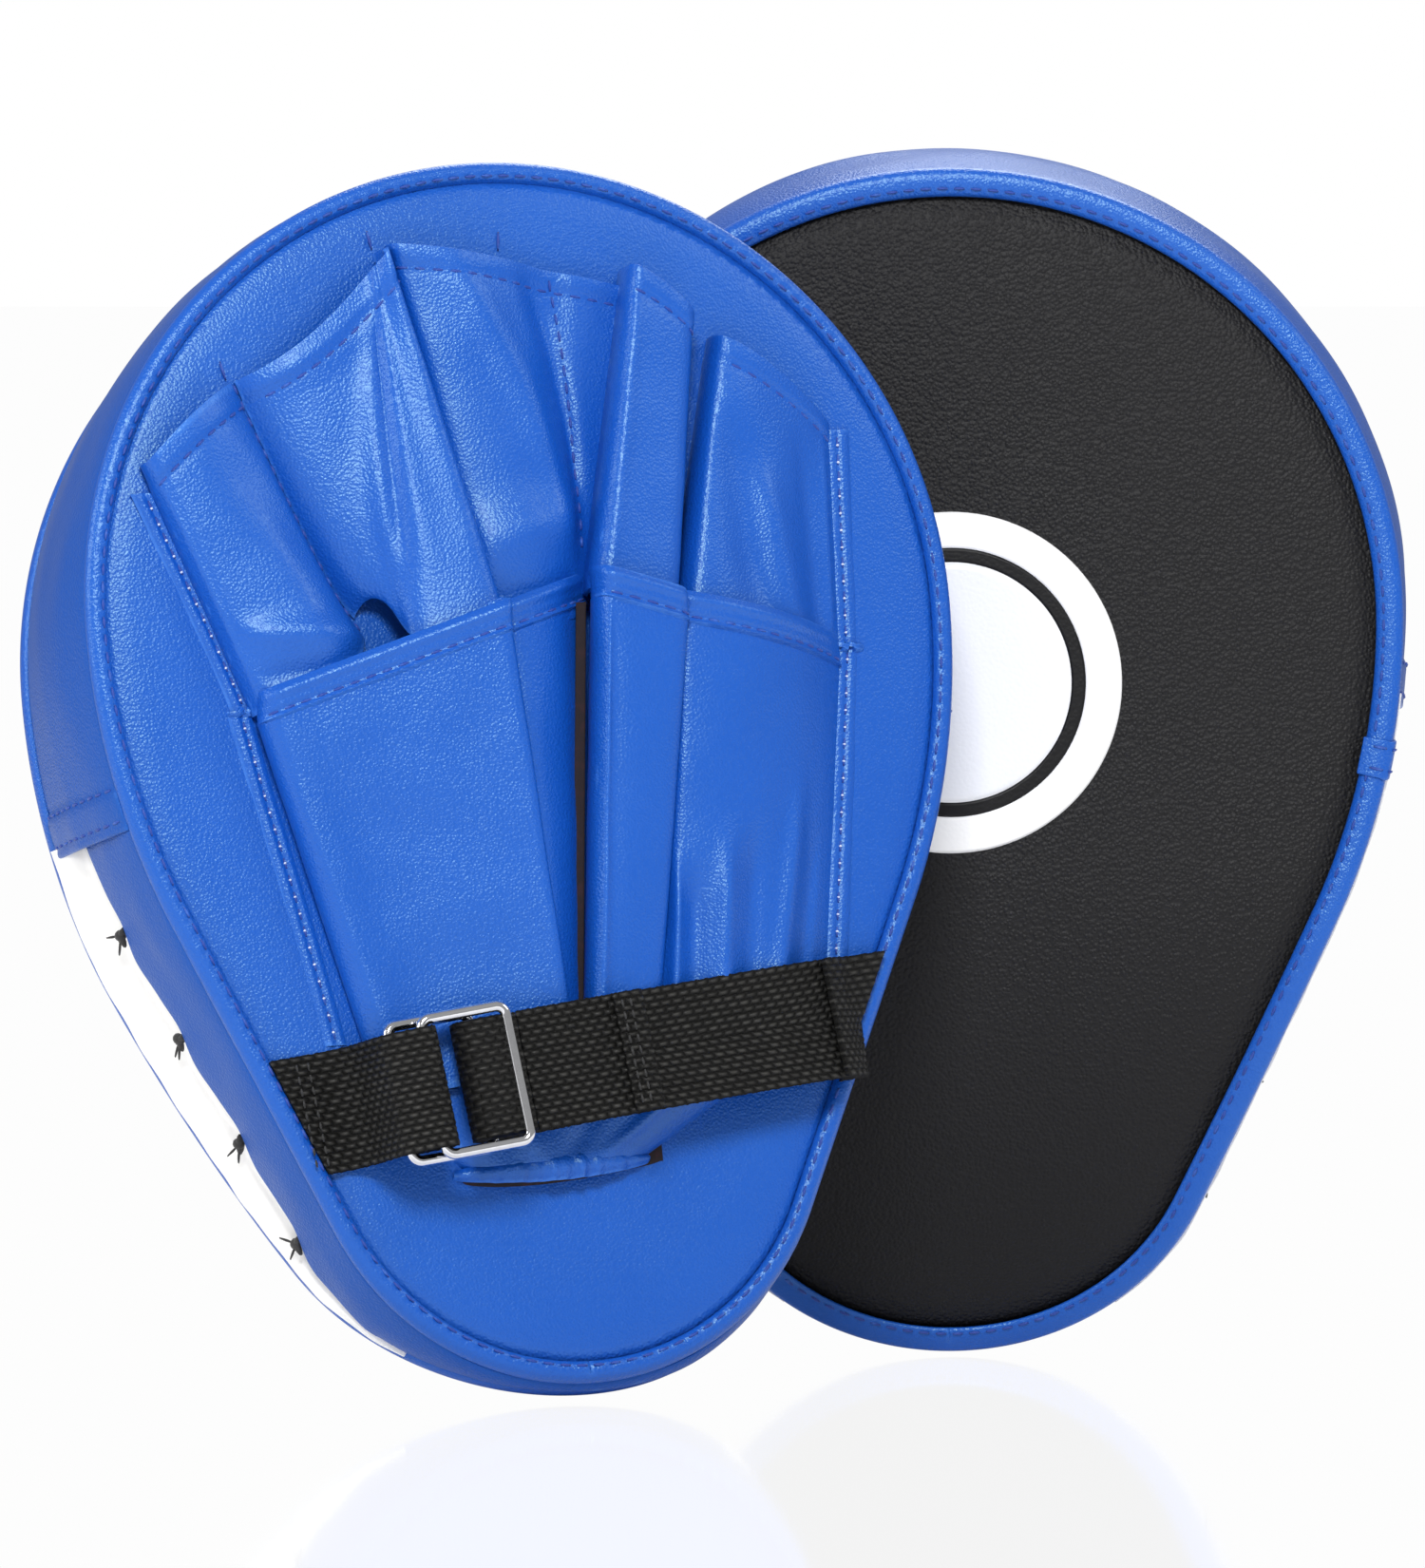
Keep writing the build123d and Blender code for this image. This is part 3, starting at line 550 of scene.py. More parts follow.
class Effects:
    """The node groups that the finishes share."""

    @staticmethod
    def _group(name: str, inputs: dict[str, float],
               outputs: tuple[str, ...]) -> tuple[NodeTree, Node, Node]:
        """Starts a shader group that reads a place and some numbers.

        Args:
            name: Name of the group.
            inputs: The default of each number.
            outputs: The names of its results.

        Returns:
            The tree and the nodes of its inputs and outputs.
        """
        tree = bpy.data.node_groups.new(name, "ShaderNodeTree")
        tree.interface.new_socket(name="Vector", in_out="INPUT", socket_type="NodeSocketVector")
        for label, value in inputs.items():
            socket = tree.interface.new_socket(name=label, in_out="INPUT", socket_type="NodeSocketFloat")
            socket.default_value = value
        for label in outputs:
            tree.interface.new_socket(name=label, in_out="OUTPUT", socket_type="NodeSocketFloat")
        return tree, tree.nodes.new("NodeGroupInput"), tree.nodes.new("NodeGroupOutput")

    @staticmethod
    @lru_cache(maxsize=None)
    def grain() -> NodeTree:
        """Pebbled leather grain: its height, and a slow mottling mask.

        Returns:
            The group.
        """
        tree, source, sink = Effects._group(
            "leather_grain", {"Pebbles": 1100.0, "Mottling": 28.0}, ("Height", "Mottle"))
        place, pebbles = source.outputs["Vector"], source.outputs["Pebbles"]
        cells = add_node(tree, "TexVoronoi", {"Vector": place, "Scale": pebbles, "Smoothness": 0.35},
                         feature="SMOOTH_F1")
        rise = add_node(tree, "MapRange", {"Value": cells.outputs["Distance"], "From Min": 0.0,
                                           "From Max": 0.75, "To Min": 1.0, "To Max": 0.0})
        finer = add_sum(tree, "MULTIPLY", pebbles, 2.3)
        fine = add_node(tree, "TexNoise", {"Vector": place, "Scale": finer, "Detail": 3.0})
        slow = add_node(tree, "TexNoise", {"Vector": place, "Scale": source.outputs["Mottling"],
                                           "Detail": 4.0})
        height = add_sum(tree, "MULTIPLY_ADD", fine.outputs["Fac"], 0.45, rise.outputs["Result"])
        tree.links.new(height, sink.inputs["Height"])
        tree.links.new(slow.outputs["Fac"], sink.inputs["Mottle"])
        return tree

    @staticmethod
    @lru_cache(maxsize=None)
    def edge_wear() -> NodeTree:
        """Rubbed folds and edges: a mask from how sharply the surface turns, broken up by noise.

        Returns:
            The group.
        """
        tree, source, sink = Effects._group("edge_wear", {"Start": 0.52, "Full": 0.62}, ("Mask",))
        shape = add_node(tree, "NewGeometry", {})
        edge = add_node(tree, "MapRange", {"Value": shape.outputs["Pointiness"],
                                           "From Min": source.outputs["Start"],
                                           "From Max": source.outputs["Full"]})
        patchy = add_node(tree, "TexNoise", {"Vector": source.outputs["Vector"], "Scale": 160.0,
                                             "Detail": 2.0})
        mask = add_sum(tree, "MULTIPLY", edge.outputs["Result"], patchy.outputs["Fac"], clamped=True)
        tree.links.new(mask, sink.inputs["Mask"])
        return tree

    @staticmethod
    @lru_cache(maxsize=None)
    def fibres() -> NodeTree:
        """Fine fibres of thread and webbing: a height and a dust mask.

        Returns:
            The group.
        """
        tree, source, sink = Effects._group("fibres", {"Strands": 3000.0}, ("Height", "Dust"))
        place = source.outputs["Vector"]
        strands = add_node(tree, "TexNoise", {"Vector": place, "Scale": source.outputs["Strands"],
                                              "Detail": 3.0, "Distortion": 0.6})
        dust = add_node(tree, "TexNoise", {"Vector": place, "Scale": 420.0, "Detail": 5.0})
        rise = add_node(tree, "MapRange", {"Value": dust.outputs["Fac"], "From Min": 0.52, "From Max": 0.78})
        tree.links.new(strands.outputs["Fac"], sink.inputs["Height"])
        tree.links.new(rise.outputs["Result"], sink.inputs["Dust"])
        return tree

    @staticmethod
    @lru_cache(maxsize=None)
    def weave() -> NodeTree:
        """Coarse woven webbing: rows of short grains, each row set half a grain on from the last, with a
        painted highlight mask on the grain tops.

        Returns:
            The group.
        """
        tree, source, sink = Effects._group("weave", {"Row": WEAVE_ROW, "Grain": WEAVE_GRAIN},
                                            ("Height", "Top"))
        split = add_node(tree, "SeparateXYZ", {0: source.outputs["Vector"]})
        across = add_sum(tree, "DIVIDE", split.outputs["X"], source.outputs["Row"])
        row = add_sum(tree, "FLOOR", across)
        shift = add_sum(tree, "MULTIPLY", add_sum(tree, "MODULO", row, 2.0), 0.5)
        grains = add_sum(tree, "DIVIDE", split.outputs["Y"], source.outputs["Grain"])
        along = add_sum(tree, "ADD", grains, shift)
        rounds = []
        for run in (across, along):
            angle = add_sum(tree, "MULTIPLY", add_sum(tree, "FRACT", run), math.pi)
            rounds.append(add_sum(tree, "SINE", angle))
        height = add_sum(tree, "POWER", add_sum(tree, "MULTIPLY", *rounds), 0.7)
        number = add_node(tree, "CombineXYZ", {0: row, 1: add_sum(tree, "FLOOR", along)})
        chance = add_node(tree, "TexWhiteNoise", {"Vector": number.outputs[0]})
        uneven = add_sum(tree, "MULTIPLY_ADD", chance.outputs["Value"], 0.6, 0.4)
        # Painted highlight mask: strongest on the grain tops, uneven from grain to grain.
        top = add_sum(tree, "MULTIPLY", add_sum(tree, "POWER", height, 3.0), uneven)
        tree.links.new(height, sink.inputs["Height"])
        tree.links.new(top, sink.inputs["Top"])
        return tree


Colour = tuple[float, float, float]


def start_material(name: str) -> tuple[Material, Node, Node]:
    """A new material with its shader and a node for the piece's own coordinates.

    Args:
        name: Name of the finish.

    Returns:
        The material, its shader and the coordinates node.
    """
    material = bpy.data.materials.new(f"{name}_finish")
    material.use_nodes = True
    shader = material.node_tree.nodes["Principled BSDF"]
    coordinates = material.node_tree.nodes.new("ShaderNodeTexCoord")
    return material, shader, coordinates


def add_group(material: Material, tree: NodeTree, vector: NodeSocket,
              **values: float) -> Node:
    """Adds a shared effect to a material with its own values.

    Args:
        material: The material.
        tree: The effect.
        vector: The coordinates that it reads.
        **values: Values of its inputs.

    Returns:
        The group's node.
    """
    node = material.node_tree.nodes.new("ShaderNodeGroup")
    node.node_tree = tree
    material.node_tree.links.new(vector, node.inputs["Vector"])
    for label, value in values.items():
        node.inputs[label].default_value = value
    return node


def add_bump(material: Material, shader: Node, height: NodeSocket,
             relief: float, strength: float = 1.0) -> None:
    """Feeds a height through a Bump node to the shader's normal.

    Args:
        material: The material.
        shader: Its shader.
        height: Socket of the height, from 0 to 1.
        relief: Height of the bumps in millimetres.
        strength: Strength of the bumps.
    """
    bump = add_node(material.node_tree, "Bump",
                    {"Distance": relief * MM, "Strength": strength, "Height": height})
    material.node_tree.links.new(bump.outputs["Normal"], shader.inputs["Normal"])


def mix_colours(material: Material, mask: NodeSocket, low: object,
                high: Colour) -> NodeSocket:
    """Mixes two colours by a mask.

    Args:
        material: The material.
        mask: Socket of the mask.
        low: Colour where the mask is 0, or the socket that gives it.
        high: Colour where the mask is 1.

    Returns:
        The socket of the mixed colour.
    """
    low = low if isinstance(low, NodeSocket) else (*low, 1.0)
    node = add_node(material.node_tree, "Mix", {"Factor": mask, "A": low, "B": (*high, 1.0)},
                    data_type="RGBA")
    return node.outputs["Result"]


def set_shader(material: Material, shader: Node, colour: NodeSocket,
               rough: Optional[tuple[NodeSocket, float, float]] = None,
               **values: object) -> None:
    """Sets what the shader reads.

    Args:
        material: The material.
        shader: Its shader.
        colour: Socket of the colour.
        rough: The mask that spreads the roughness, and the roughness where it is 0 and where it is 1.
        **values: Plain values of the shader's sockets, with _ for each space in their names.
    """
    tree = material.node_tree
    tree.links.new(colour, shader.inputs["Base Color"])
    if rough:
        spread = add_node(tree, "MapRange", {"Value": rough[0], "To Min": rough[1], "To Max": rough[2]})
        tree.links.new(spread.outputs["Result"], shader.inputs["Roughness"])
    for name, value in values.items():
        shader.inputs[name.replace("_", " ")].default_value = value


@dataclass(frozen=True)
class LeatherFinish:
    """Coated leather with a pebbled grain.

    Attributes:
        name: Name of the finish.
        colour: Main colour.
        deep: Colour of its darker mottling.
        worn: Colour of rubbed edges.
        smooth: Lowest roughness.
        dull: Highest roughness.
        pebbles: Pebbles per metre.
        relief: Height of the pebbles in millimetres.
        coat: Weight of the clear coat.
        shine: Specular level.
        glint: Tint of the reflections.
    """

    name: str
    colour: Colour
    deep: Colour
    worn: Colour
    smooth: float = 0.36
    dull: float = 0.5
    pebbles: float = 1150.0
    relief: float = 0.05
    coat: float = 0.12
    shine: float = 0.5
    glint: Colour = (1.0, 1.0, 1.0)

    @lru_cache(maxsize=None)
    def material(self) -> Material:
        """Builds the finish once.

        Returns:
            The material.
        """
        material, shader, coordinates = start_material(self.name)
        place = coordinates.outputs["Object"]
        grain = add_group(material, Effects.grain(), place, Pebbles=self.pebbles)
        wear = add_group(material, Effects.edge_wear(), place)
        mottled = mix_colours(material, grain.outputs["Mottle"], self.deep, self.colour)
        worn = mix_colours(material, wear.outputs["Mask"], mottled, self.worn)
        set_shader(material, shader, worn, (grain.outputs["Mottle"], self.smooth, self.dull),
                   Specular_IOR_Level=self.shine, Specular_Tint=(*self.glint, 1.0), Coat_Weight=self.coat,
                   Coat_Roughness=0.28)
        add_bump(material, shader, grain.outputs["Height"], self.relief)
        return material


@dataclass(frozen=True)
class FibreFinish:
    """Spun thread, cord and webbing, with fine fibres and a little dust.

    Attributes:
        name: Name of the finish.
        colour: Main colour.
        dusty: Colour where dust and worn fibres show.
        roughness: Roughness of the fibres.
        sheen: Weight of the soft sheen.
        relief: Height of the fibres in millimetres.
    """

    name: str
    colour: Colour
    dusty: Colour
    roughness: float = 0.6
    sheen: float = 0.15
    relief: float = 0.06

    @lru_cache(maxsize=None)
    def material(self) -> Material:
        """Builds the finish once.

        Returns:
            The material.
        """
        material, shader, coordinates = start_material(self.name)
        fibres = add_group(material, Effects.fibres(), coordinates.outputs["Object"])
        colour = mix_colours(material, fibres.outputs["Dust"], self.colour, self.dusty)
        set_shader(material, shader, colour, Roughness=self.roughness, Sheen_Weight=self.sheen)
        add_bump(material, shader, fibres.outputs["Height"], self.relief, 0.8)
        return material


@dataclass(frozen=True)
class WebbingFinish:
    """Coarse woven webbing whose grain tops carry a painted highlight, which leaves the gaps darker as
    painted shade.

    Attributes:
        name: Name of the finish.
        colour: Colour deep in the weave.
        top: Painted highlight colour of the grain tops.
        relief: Height of the grains in millimetres.
        shine: Specular level.
    """

    name: str
    colour: Colour
    top: Colour
    relief: float = 0.6
    shine: float = 0.22

    @lru_cache(maxsize=None)
    def material(self) -> Material:
        """Builds the finish once.

        Returns:
            The material.
        """
        material, shader, coordinates = start_material(self.name)
        weave = add_group(material, Effects.weave(), coordinates.outputs["UV"])
        fibres = add_group(material, Effects.fibres(), coordinates.outputs["Object"])
        # Painted highlight: the grain tops are mixed towards a lighter colour, so the gaps stay darker as
        # painted shade.
        colour = mix_colours(material, weave.outputs["Top"], self.colour, self.top)
        set_shader(material, shader, colour, (weave.outputs["Height"], 0.75, 0.4),
                   Specular_IOR_Level=self.shine)
        height = add_sum(material.node_tree, "MULTIPLY_ADD", fibres.outputs["Height"], 0.15,
                         weave.outputs["Height"])
        add_bump(material, shader, height, self.relief)
        return material


@dataclass(frozen=True)
class ChromeFinish:
    """Polished chromed wire with faint rub marks.

    Attributes:
        name: Name of the finish.
        colour: Colour of the chrome.
        rubbed: Colour of its rub marks.
    """

    name: str = "chromed_wire"
    colour: Colour = (0.82, 0.83, 0.85)
    rubbed: Colour = (0.62, 0.62, 0.64)

    @lru_cache(maxsize=None)
    def material(self) -> Material:
        """Builds the finish once.

        Returns:
            The material.
        """
        material, shader, coordinates = start_material(self.name)
        rub = add_node(material.node_tree, "TexNoise",
                       {"Vector": coordinates.outputs["Object"], "Scale": 700.0, "Detail": 4.0})
        colour = mix_colours(material, rub.outputs["Fac"], self.colour, self.rubbed)
        set_shader(material, shader, colour, (rub.outputs["Fac"], 0.05, 0.2), Metallic=1.0)
        return material


Finish = Union[LeatherFinish, FibreFinish, WebbingFinish]

BLUE = LeatherFinish("blue_leather", colour=(0.005, 0.083, 0.465), deep=(0.004, 0.071, 0.41),
                     worn=(0.04, 0.17, 0.62), smooth=0.29, dull=0.4, pebbles=1700.0, relief=0.085, coat=0.06,
                     shine=0.62, glint=(0.62, 1.0, 0.86))
GUSSET = LeatherFinish("blue_gusset_leather", colour=(0.007, 0.074, 0.385), deep=(0.005, 0.064, 0.34),
                       worn=(0.05, 0.18, 0.55), smooth=0.3, dull=0.42, pebbles=1700.0, relief=0.085, coat=0.0,
                       shine=0.3, glint=(0.62, 1.0, 0.86))
BLACK = LeatherFinish("black_leather", colour=(0.0105, 0.0102, 0.0115), deep=(0.008, 0.008, 0.009),
                      worn=(0.03, 0.03, 0.032), smooth=0.4, dull=0.54, pebbles=1250.0, relief=0.2, coat=0.0,
                      shine=0.2)
WHITE = LeatherFinish("white_leather", colour=(0.96, 0.95, 0.92), deep=(0.9, 0.89, 0.86),
                      worn=(0.97, 0.96, 0.94), smooth=0.5, dull=0.62, relief=0.03, coat=0.0)
# The disc's middle and its rim are one white; the middle is painted dimmer than the rim as painted shade.
DISC = LeatherFinish("target_white", colour=(0.80, 0.815, 0.86), deep=(0.77, 0.79, 0.84),
                     worn=(0.95, 0.95, 0.96), smooth=0.34, dull=0.46, relief=0.035)
DISC_RIM = LeatherFinish("target_white_rim", colour=(0.95, 0.95, 0.95), deep=(0.92, 0.92, 0.92),
                         worn=(0.97, 0.97, 0.97), smooth=0.34, dull=0.46, relief=0.02)
DISC_RING = LeatherFinish("target_black", colour=(0.006, 0.006, 0.007), deep=(0.005, 0.005, 0.006),
                          worn=(0.02, 0.02, 0.02), smooth=0.36, dull=0.46, relief=0.03, coat=0.0, shine=0.2)
# Dark lining: the real lining of the mouth, and also dark sheets of painted shade in the pocket's gaps.
LINING_AND_SHADE = FibreFinish("dark_lining_and_shade", colour=(0.010, 0.004, 0.006), dusty=(0.03, 0.008, 0.012),
                     roughness=0.85, sheen=0.0)
# The webbing's top colour is a painted highlight on the grain tops.
WEBBING = WebbingFinish("black_webbing", colour=(0.0025, 0.0024, 0.0022), top=(0.042, 0.041, 0.038))
CORD = FibreFinish("black_cord", colour=(0.008, 0.0075, 0.0075), dusty=(0.03, 0.028, 0.028))
BLUE_THREAD = FibreFinish("blue_thread", colour=(0.009, 0.045, 0.30), dusty=(0.03, 0.13, 0.52), sheen=0.1)
# Pale thread: a painted glint, sewn as short dots on the welts' blue stitches.
THREAD_GLINT = FibreFinish("white_thread", colour=(0.55, 0.62, 0.78), dusty=(0.8, 0.82, 0.88))
BLACK_THREAD = FibreFinish("black_thread", colour=(0.006, 0.006, 0.007), dusty=(0.02, 0.02, 0.02))
CORE_FOAM = FibreFinish("core_foam", colour=(0.06, 0.06, 0.067), dusty=(0.1, 0.1, 0.11), roughness=0.95,
                        sheen=0.0, relief=0.3)
IMPACT_FOAM = FibreFinish("impact_foam", colour=(0.75, 0.72, 0.66), dusty=(0.6, 0.57, 0.5), roughness=0.95,
                          sheen=0.0, relief=0.3)
CHROME = ChromeFinish()


# -------- finishing a piece on both mitts
@dataclass(frozen=True)
class Make:
    """How a shaped sheet becomes a finished piece, which replaces the CAD node of its own name.

    Attributes:
        name: Name of the piece without its hand.
        finish: Finish of its outer side.
        slot: The record's material slot. Not used.
        skin: Thickness that is added inwards, 0 for a closed shape.
        round_over: Radius of its rounded edges.
        lining: Finish of its inner side, if it differs.
        body: Body that it rides on, without its hand.
        fill: How full a padded piece is. Not used.
    """

    name: str
    finish: Finish
    slot: str = "blue_leather"
    skin: float = 0.0
    round_over: float = 0.0
    lining: Optional[FibreFinish] = None
    body: str = "mitt"
    fill: Optional[float] = None

    def place(self, bm: BMesh) -> None:
        """Puts the piece on both mitts and reports it.

        Args:
            bm: The shaped mesh, in one mitt's millimetres. It is freed.
        """
        for stand in STANDS:
            copy = bm.copy()
            bmesh.ops.transform(copy, matrix=stand.matrix(), verts=copy.verts)
            if stand.hand is Hand.LEFT:
                bmesh.ops.reverse_faces(copy, faces=copy.faces)
            mesh = bpy.data.meshes.new(f"{stand.hand.value}_{self.name}")
            copy.to_mesh(mesh)
            copy.free()
            mesh.shade_smooth()
            piece = bpy.data.objects.new(f"{stand.hand.value}_{self.name}_made", mesh)
            bpy.context.scene.collection.objects.link(piece)
            self._dress(piece)
            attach(piece, f"{stand.hand.value}_{self.body}")
            if f"{stand.hand.value}_{self.name}" in frame["nodes"]:
                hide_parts(f"{stand.hand.value}_{self.name}")
            LOG.info("%s: %d faces on %s", piece.name, len(mesh.polygons), self.body)
        bm.free()

    def _dress(self, piece: Object) -> None:
        """Adds the finish, the thickness and the rounded edges.

        Args:
            piece: The object that is finished.
        """
        piece.data.materials.append(self.finish.material())
        if self.lining:
            piece.data.materials.append(self.lining.material())
        if self.skin:
            wall = piece.modifiers.new("skin", "SOLIDIFY")
            wall.thickness = self.skin * MM
            wall.offset = -1.0
            wall.use_even_offset = False
            wall.material_offset = 1 if self.lining else 0
        if self.round_over:
            edge = piece.modifiers.new("round_over", "BEVEL")
            edge.width = self.round_over * MM
            edge.segments = 3
            edge.limit_method = "ANGLE"
            edge.angle_limit = math.radians(50)


# -------- the padded body
@dataclass
class BodySkins:
    """Back panel, seams, side walls, face and foam of the padded body.

    Attributes:
        back_centre: Middle of the back panel, x and z.
        face_centre: Middle of the striking face, x and z.
        gusset_swell: How far the upper wall swells out.
        lower_swell: How far the lower wall swells out.
    """

    back_centre: Pair = (0.0, 135.0)
    face_centre: Pair = (0.0, 136.0)
    gusset_swell: float = 2.4
    lower_swell: float = 1.2

    def build(self) -> None:
        """Makes the body's pieces in order."""
        self.back_panel()
        self.back_binding()
        self.upper_gusset()
        self.lower_wrap()
        self.lacing_strips()
        self.striking_face()
        self.edge_binding()
        self.foams()

    # -------- back
    def on_back(self, a: float, b: float) -> Vector:
        """A point of the back panel.

        Args:
            a: Place round the outline.
            b: Place from the middle to the seam.

        Returns:
            The point.
        """
        x, z, nx, nz = BODY.rim(a)
        inset = BODY.seam_width - 0.6
        edge = Vector((x - nx * inset, z - nz * inset))
        middle = Vector(self.back_centre)
        spot = middle.lerp(edge, b)
        gap = (edge - spot).length
        swell = 0.9 * math.exp(-(gap / 3.0) ** 2) - 0.9 * ease(gap, 0.0, 17.0)
        uneven = 0.35 * ripple(spot.x, spot.y, 38, 1.5) * ease(gap, 0, 12)
        return Vector((spot.x, swell - uneven, spot.y))

    def back_panel(self) -> None:
        """The blue sheet behind the hand, drawn down at its seam."""
        bm = grid_sheet(220, 48, self.on_back, off_back, closed=True)
        Make("back_panel", BLUE, skin=1.2).place(bm)

    def on_back_binding(self, a: float, b: float) -> Vector:
        """A point of the rolled seam.

        Args:
            a: Place round the outline.
            b: Place over the roll.

        Returns:
            The point.
        """
        section = ((3.9, 0.9), (3.7, 0.0), (3.1, -0.7), (2.2, -1.0), (1.2, -0.95), (0.3, -0.45),
                   (-0.35, 0.5), (-0.45, 1.5), (-0.1, 2.4))
        inset, depth = smooth_through(section, b)
        x, z, nx, nz = BODY.rim(a)
        pucker = 0.16 * math.sin(a * BODY.girth / 3.6 * 2 * math.pi) * math.exp(-((inset - 2.7) / 0.9) ** 2)
        return Vector((x - nx * inset, depth + pucker, z - nz * inset - BODY.shear * max(depth, 0)))

    def back_binding(self) -> None:
        """The rolled and stitched seam round the back."""
        bm = grid_sheet(760, 14, self.on_back_binding, off_back, closed=True)
        Make("back_binding", BLUE, skin=0.9).place(bm)
        seam = bmesh.new()
        sew_round(seam, BODY.rim, 2.75, -0.98)
        Make("back_seam_thread", BLUE_THREAD).place(seam)

    # -------- side walls
    def on_gusset(self, a: float, b: float) -> Vector:
        """A point of the upper wall.

        Args:
            a: Place from the little-finger hem to the thumb hem.
            b: Place over the depth.

        Returns:
            The point.
        """
        depth_guess = mix(WALL_START, BODY.thickness - BODY.skirt, b)
        start = BODY.share_at(BODY.little_hem + BODY.shear * depth_guess)
        end = 1.0 - BODY.share_at(BODY.thumb_hem + BODY.shear * depth_guess)
        share = mix(start, end, a)
        depth = mix(WALL_START, BODY.rim_depth(share) - BODY.skirt, b)
        run = (end - share) * BODY.girth
        lead = (share - start) * BODY.girth
        hem = 0.7 * (1 - ease(run, 8.4, 9.6)) + 0.7 * (1 - ease(lead, 8.4, 9.6))
        groove = -0.35 * math.exp(-((run - HEM_ROWS[1]) / 0.9) ** 2)
        groove -= 0.25 * math.exp(-((run - HEM_ROWS[0]) / 0.8) ** 2)
        swell = self.gusset_swell * math.sin(math.pi * b) ** 0.75
        swell += 0.7 * ripple(share * BODY.girth, depth * 2.2, 26, 4.2) * math.sin(math.pi * b)
        return BODY.wall(share, depth, swell + hem + groove)

    def upper_gusset(self) -> None:
        """The puffed side wall over the top, with a double-stitched hem at each end."""
        bm = grid_sheet(320, 26, self.on_gusset, from_middle)
        Make("upper_gusset", GUSSET, skin=1.3, round_over=0.5).place(bm)
        seam = bmesh.new()
        length = BODY.girth * (1 - BODY.share_at(BODY.thumb_hem) - BODY.share_at(BODY.little_hem))
        for hem in HEM_ROWS:
            for place in (hem / length, 1 - hem / length):
                side = Vector((1.0 if place < 0.5 else -1.0, 0.0, 0.0))
                sew_on(seam, self.on_gusset, (place, 0.03), (place, 0.97), Thread(), side)
        Make("gusset_thread", BLUE_THREAD).place(seam)

    def wrap_edge(self, z: float) -> float:
        """Depth of the lower wrap's free edge, stepped in at each tie.

        Args:
            z: Height of the place.

        Returns:
            The depth of the edge.
        """
        step = 0.0
        for tie in Lacing.heights:
            drawn, loose = ((z - tie + 5.5) / 5.0) ** 2, ((z - tie - 2.5) / 4.0) ** 2
            step += 1.5 * math.exp(-drawn) - 0.9 * math.exp(-loose)
        return 14.0 + 0.085 * z + step

    def on_wrap(self, a: float, b: float) -> Vector:
        """A point of the lower wrap.

        Args:
            a: Place from the thumb hem round the tip.
            b: Place over the width.

        Returns:
            The point.
        """
        guess = mix(WALL_START, 26.0, b)
        start = 1.0 - BODY.share_at(BODY.thumb_hem + BODY.shear * guess)
        end = 1.0 + BODY.share_at(BODY.little_hem + BODY.shear * guess)
        share = mix(start, end, a)
        limit = BODY.rim_depth(share) - BODY.skirt
        z = BODY.rim(share)[1]
        edge = min(self.wrap_edge(z - BODY.shear * 20), limit)
        depth = mix(WALL_START, edge, b)
        free = ease(limit - edge, 0.0, 2.0)
        swell = 0.3 + self.lower_swell * math.sin(math.pi * min(1.0, b * (1 - 0.25 * free))) ** 0.7
        swell += 0.45 * ripple(share * BODY.girth, depth * 2, 17, 7.7)
        return BODY.wall(share, depth, swell)

    def lower_wrap(self) -> None:
        """The blue side wall of the lower half, next to the back."""
        bm = grid_sheet(300, 18, self.on_wrap, from_middle)
        Make("lower_side_wrap", GUSSET, skin=1.1, round_over=0.4).place(bm)

    def on_strip(self, a: float, b: float, side: int) -> Vector:
        """A point of a white strip.

        Args:
            a: Place from the lower point to the hem.
            b: Place over the width.
            side: 1 on the little-finger side, -1 on the thumb side.

        Returns:
            The point.
        """
        hem = BODY.thumb_hem if side < 0 else BODY.little_hem
        z = mix(9.0, hem + 2.0, a)
        depth = self.wrap_edge(z)
        for _ in range(3):
            share = BODY.share_at(z + BODY.shear * depth)
            back = self.wrap_edge(z) - 2.2
            rim = BODY.rim_depth(share) - BODY.skirt + 0.4
            depth = mix(min(back, rim - 0.2), rim, b)
        share = BODY.share_at(z + BODY.shear * depth)
        fold = 0.9 * math.exp(-((b - 0.62) / 0.16) ** 2) - 0.7 * math.exp(-((b - 0.45) / 0.07) ** 2)
        waves = sum(math.exp(-((z - tie) / 4.5) ** 2) for tie in Lacing.heights)
        pull = -0.7 * waves * math.exp(-((b - 0.35) / 0.3) ** 2)
        pull -= 1.7 * (1 - min(1.0, waves)) * math.exp(-((b - 0.3) / 0.05) ** 2)
        uneven = 0.35 * ripple(z, depth * 2, 8, 2.9 + side)
        out = mix(-0.5, 1.5, ease(b, 0.3, 0.95)) + fold * (1 - 0.6 * waves) + pull + uneven
        return BODY.wall(share if side > 0 else 1 - share, depth, out)

    def lacing_strips(self) -> None:
        """The two white strips that the black ties draw in."""
        whole = bmesh.new()
        for side in (-1, 1):
            strip = grid_sheet(150, 40, lambda a, b: self.on_strip(a, b, side), from_middle)
            join_into(whole, strip)
        Make("lacing_strip", WHITE, "white_leather", skin=1.0, round_over=0.3).place(whole)
        Lacing(self).build()

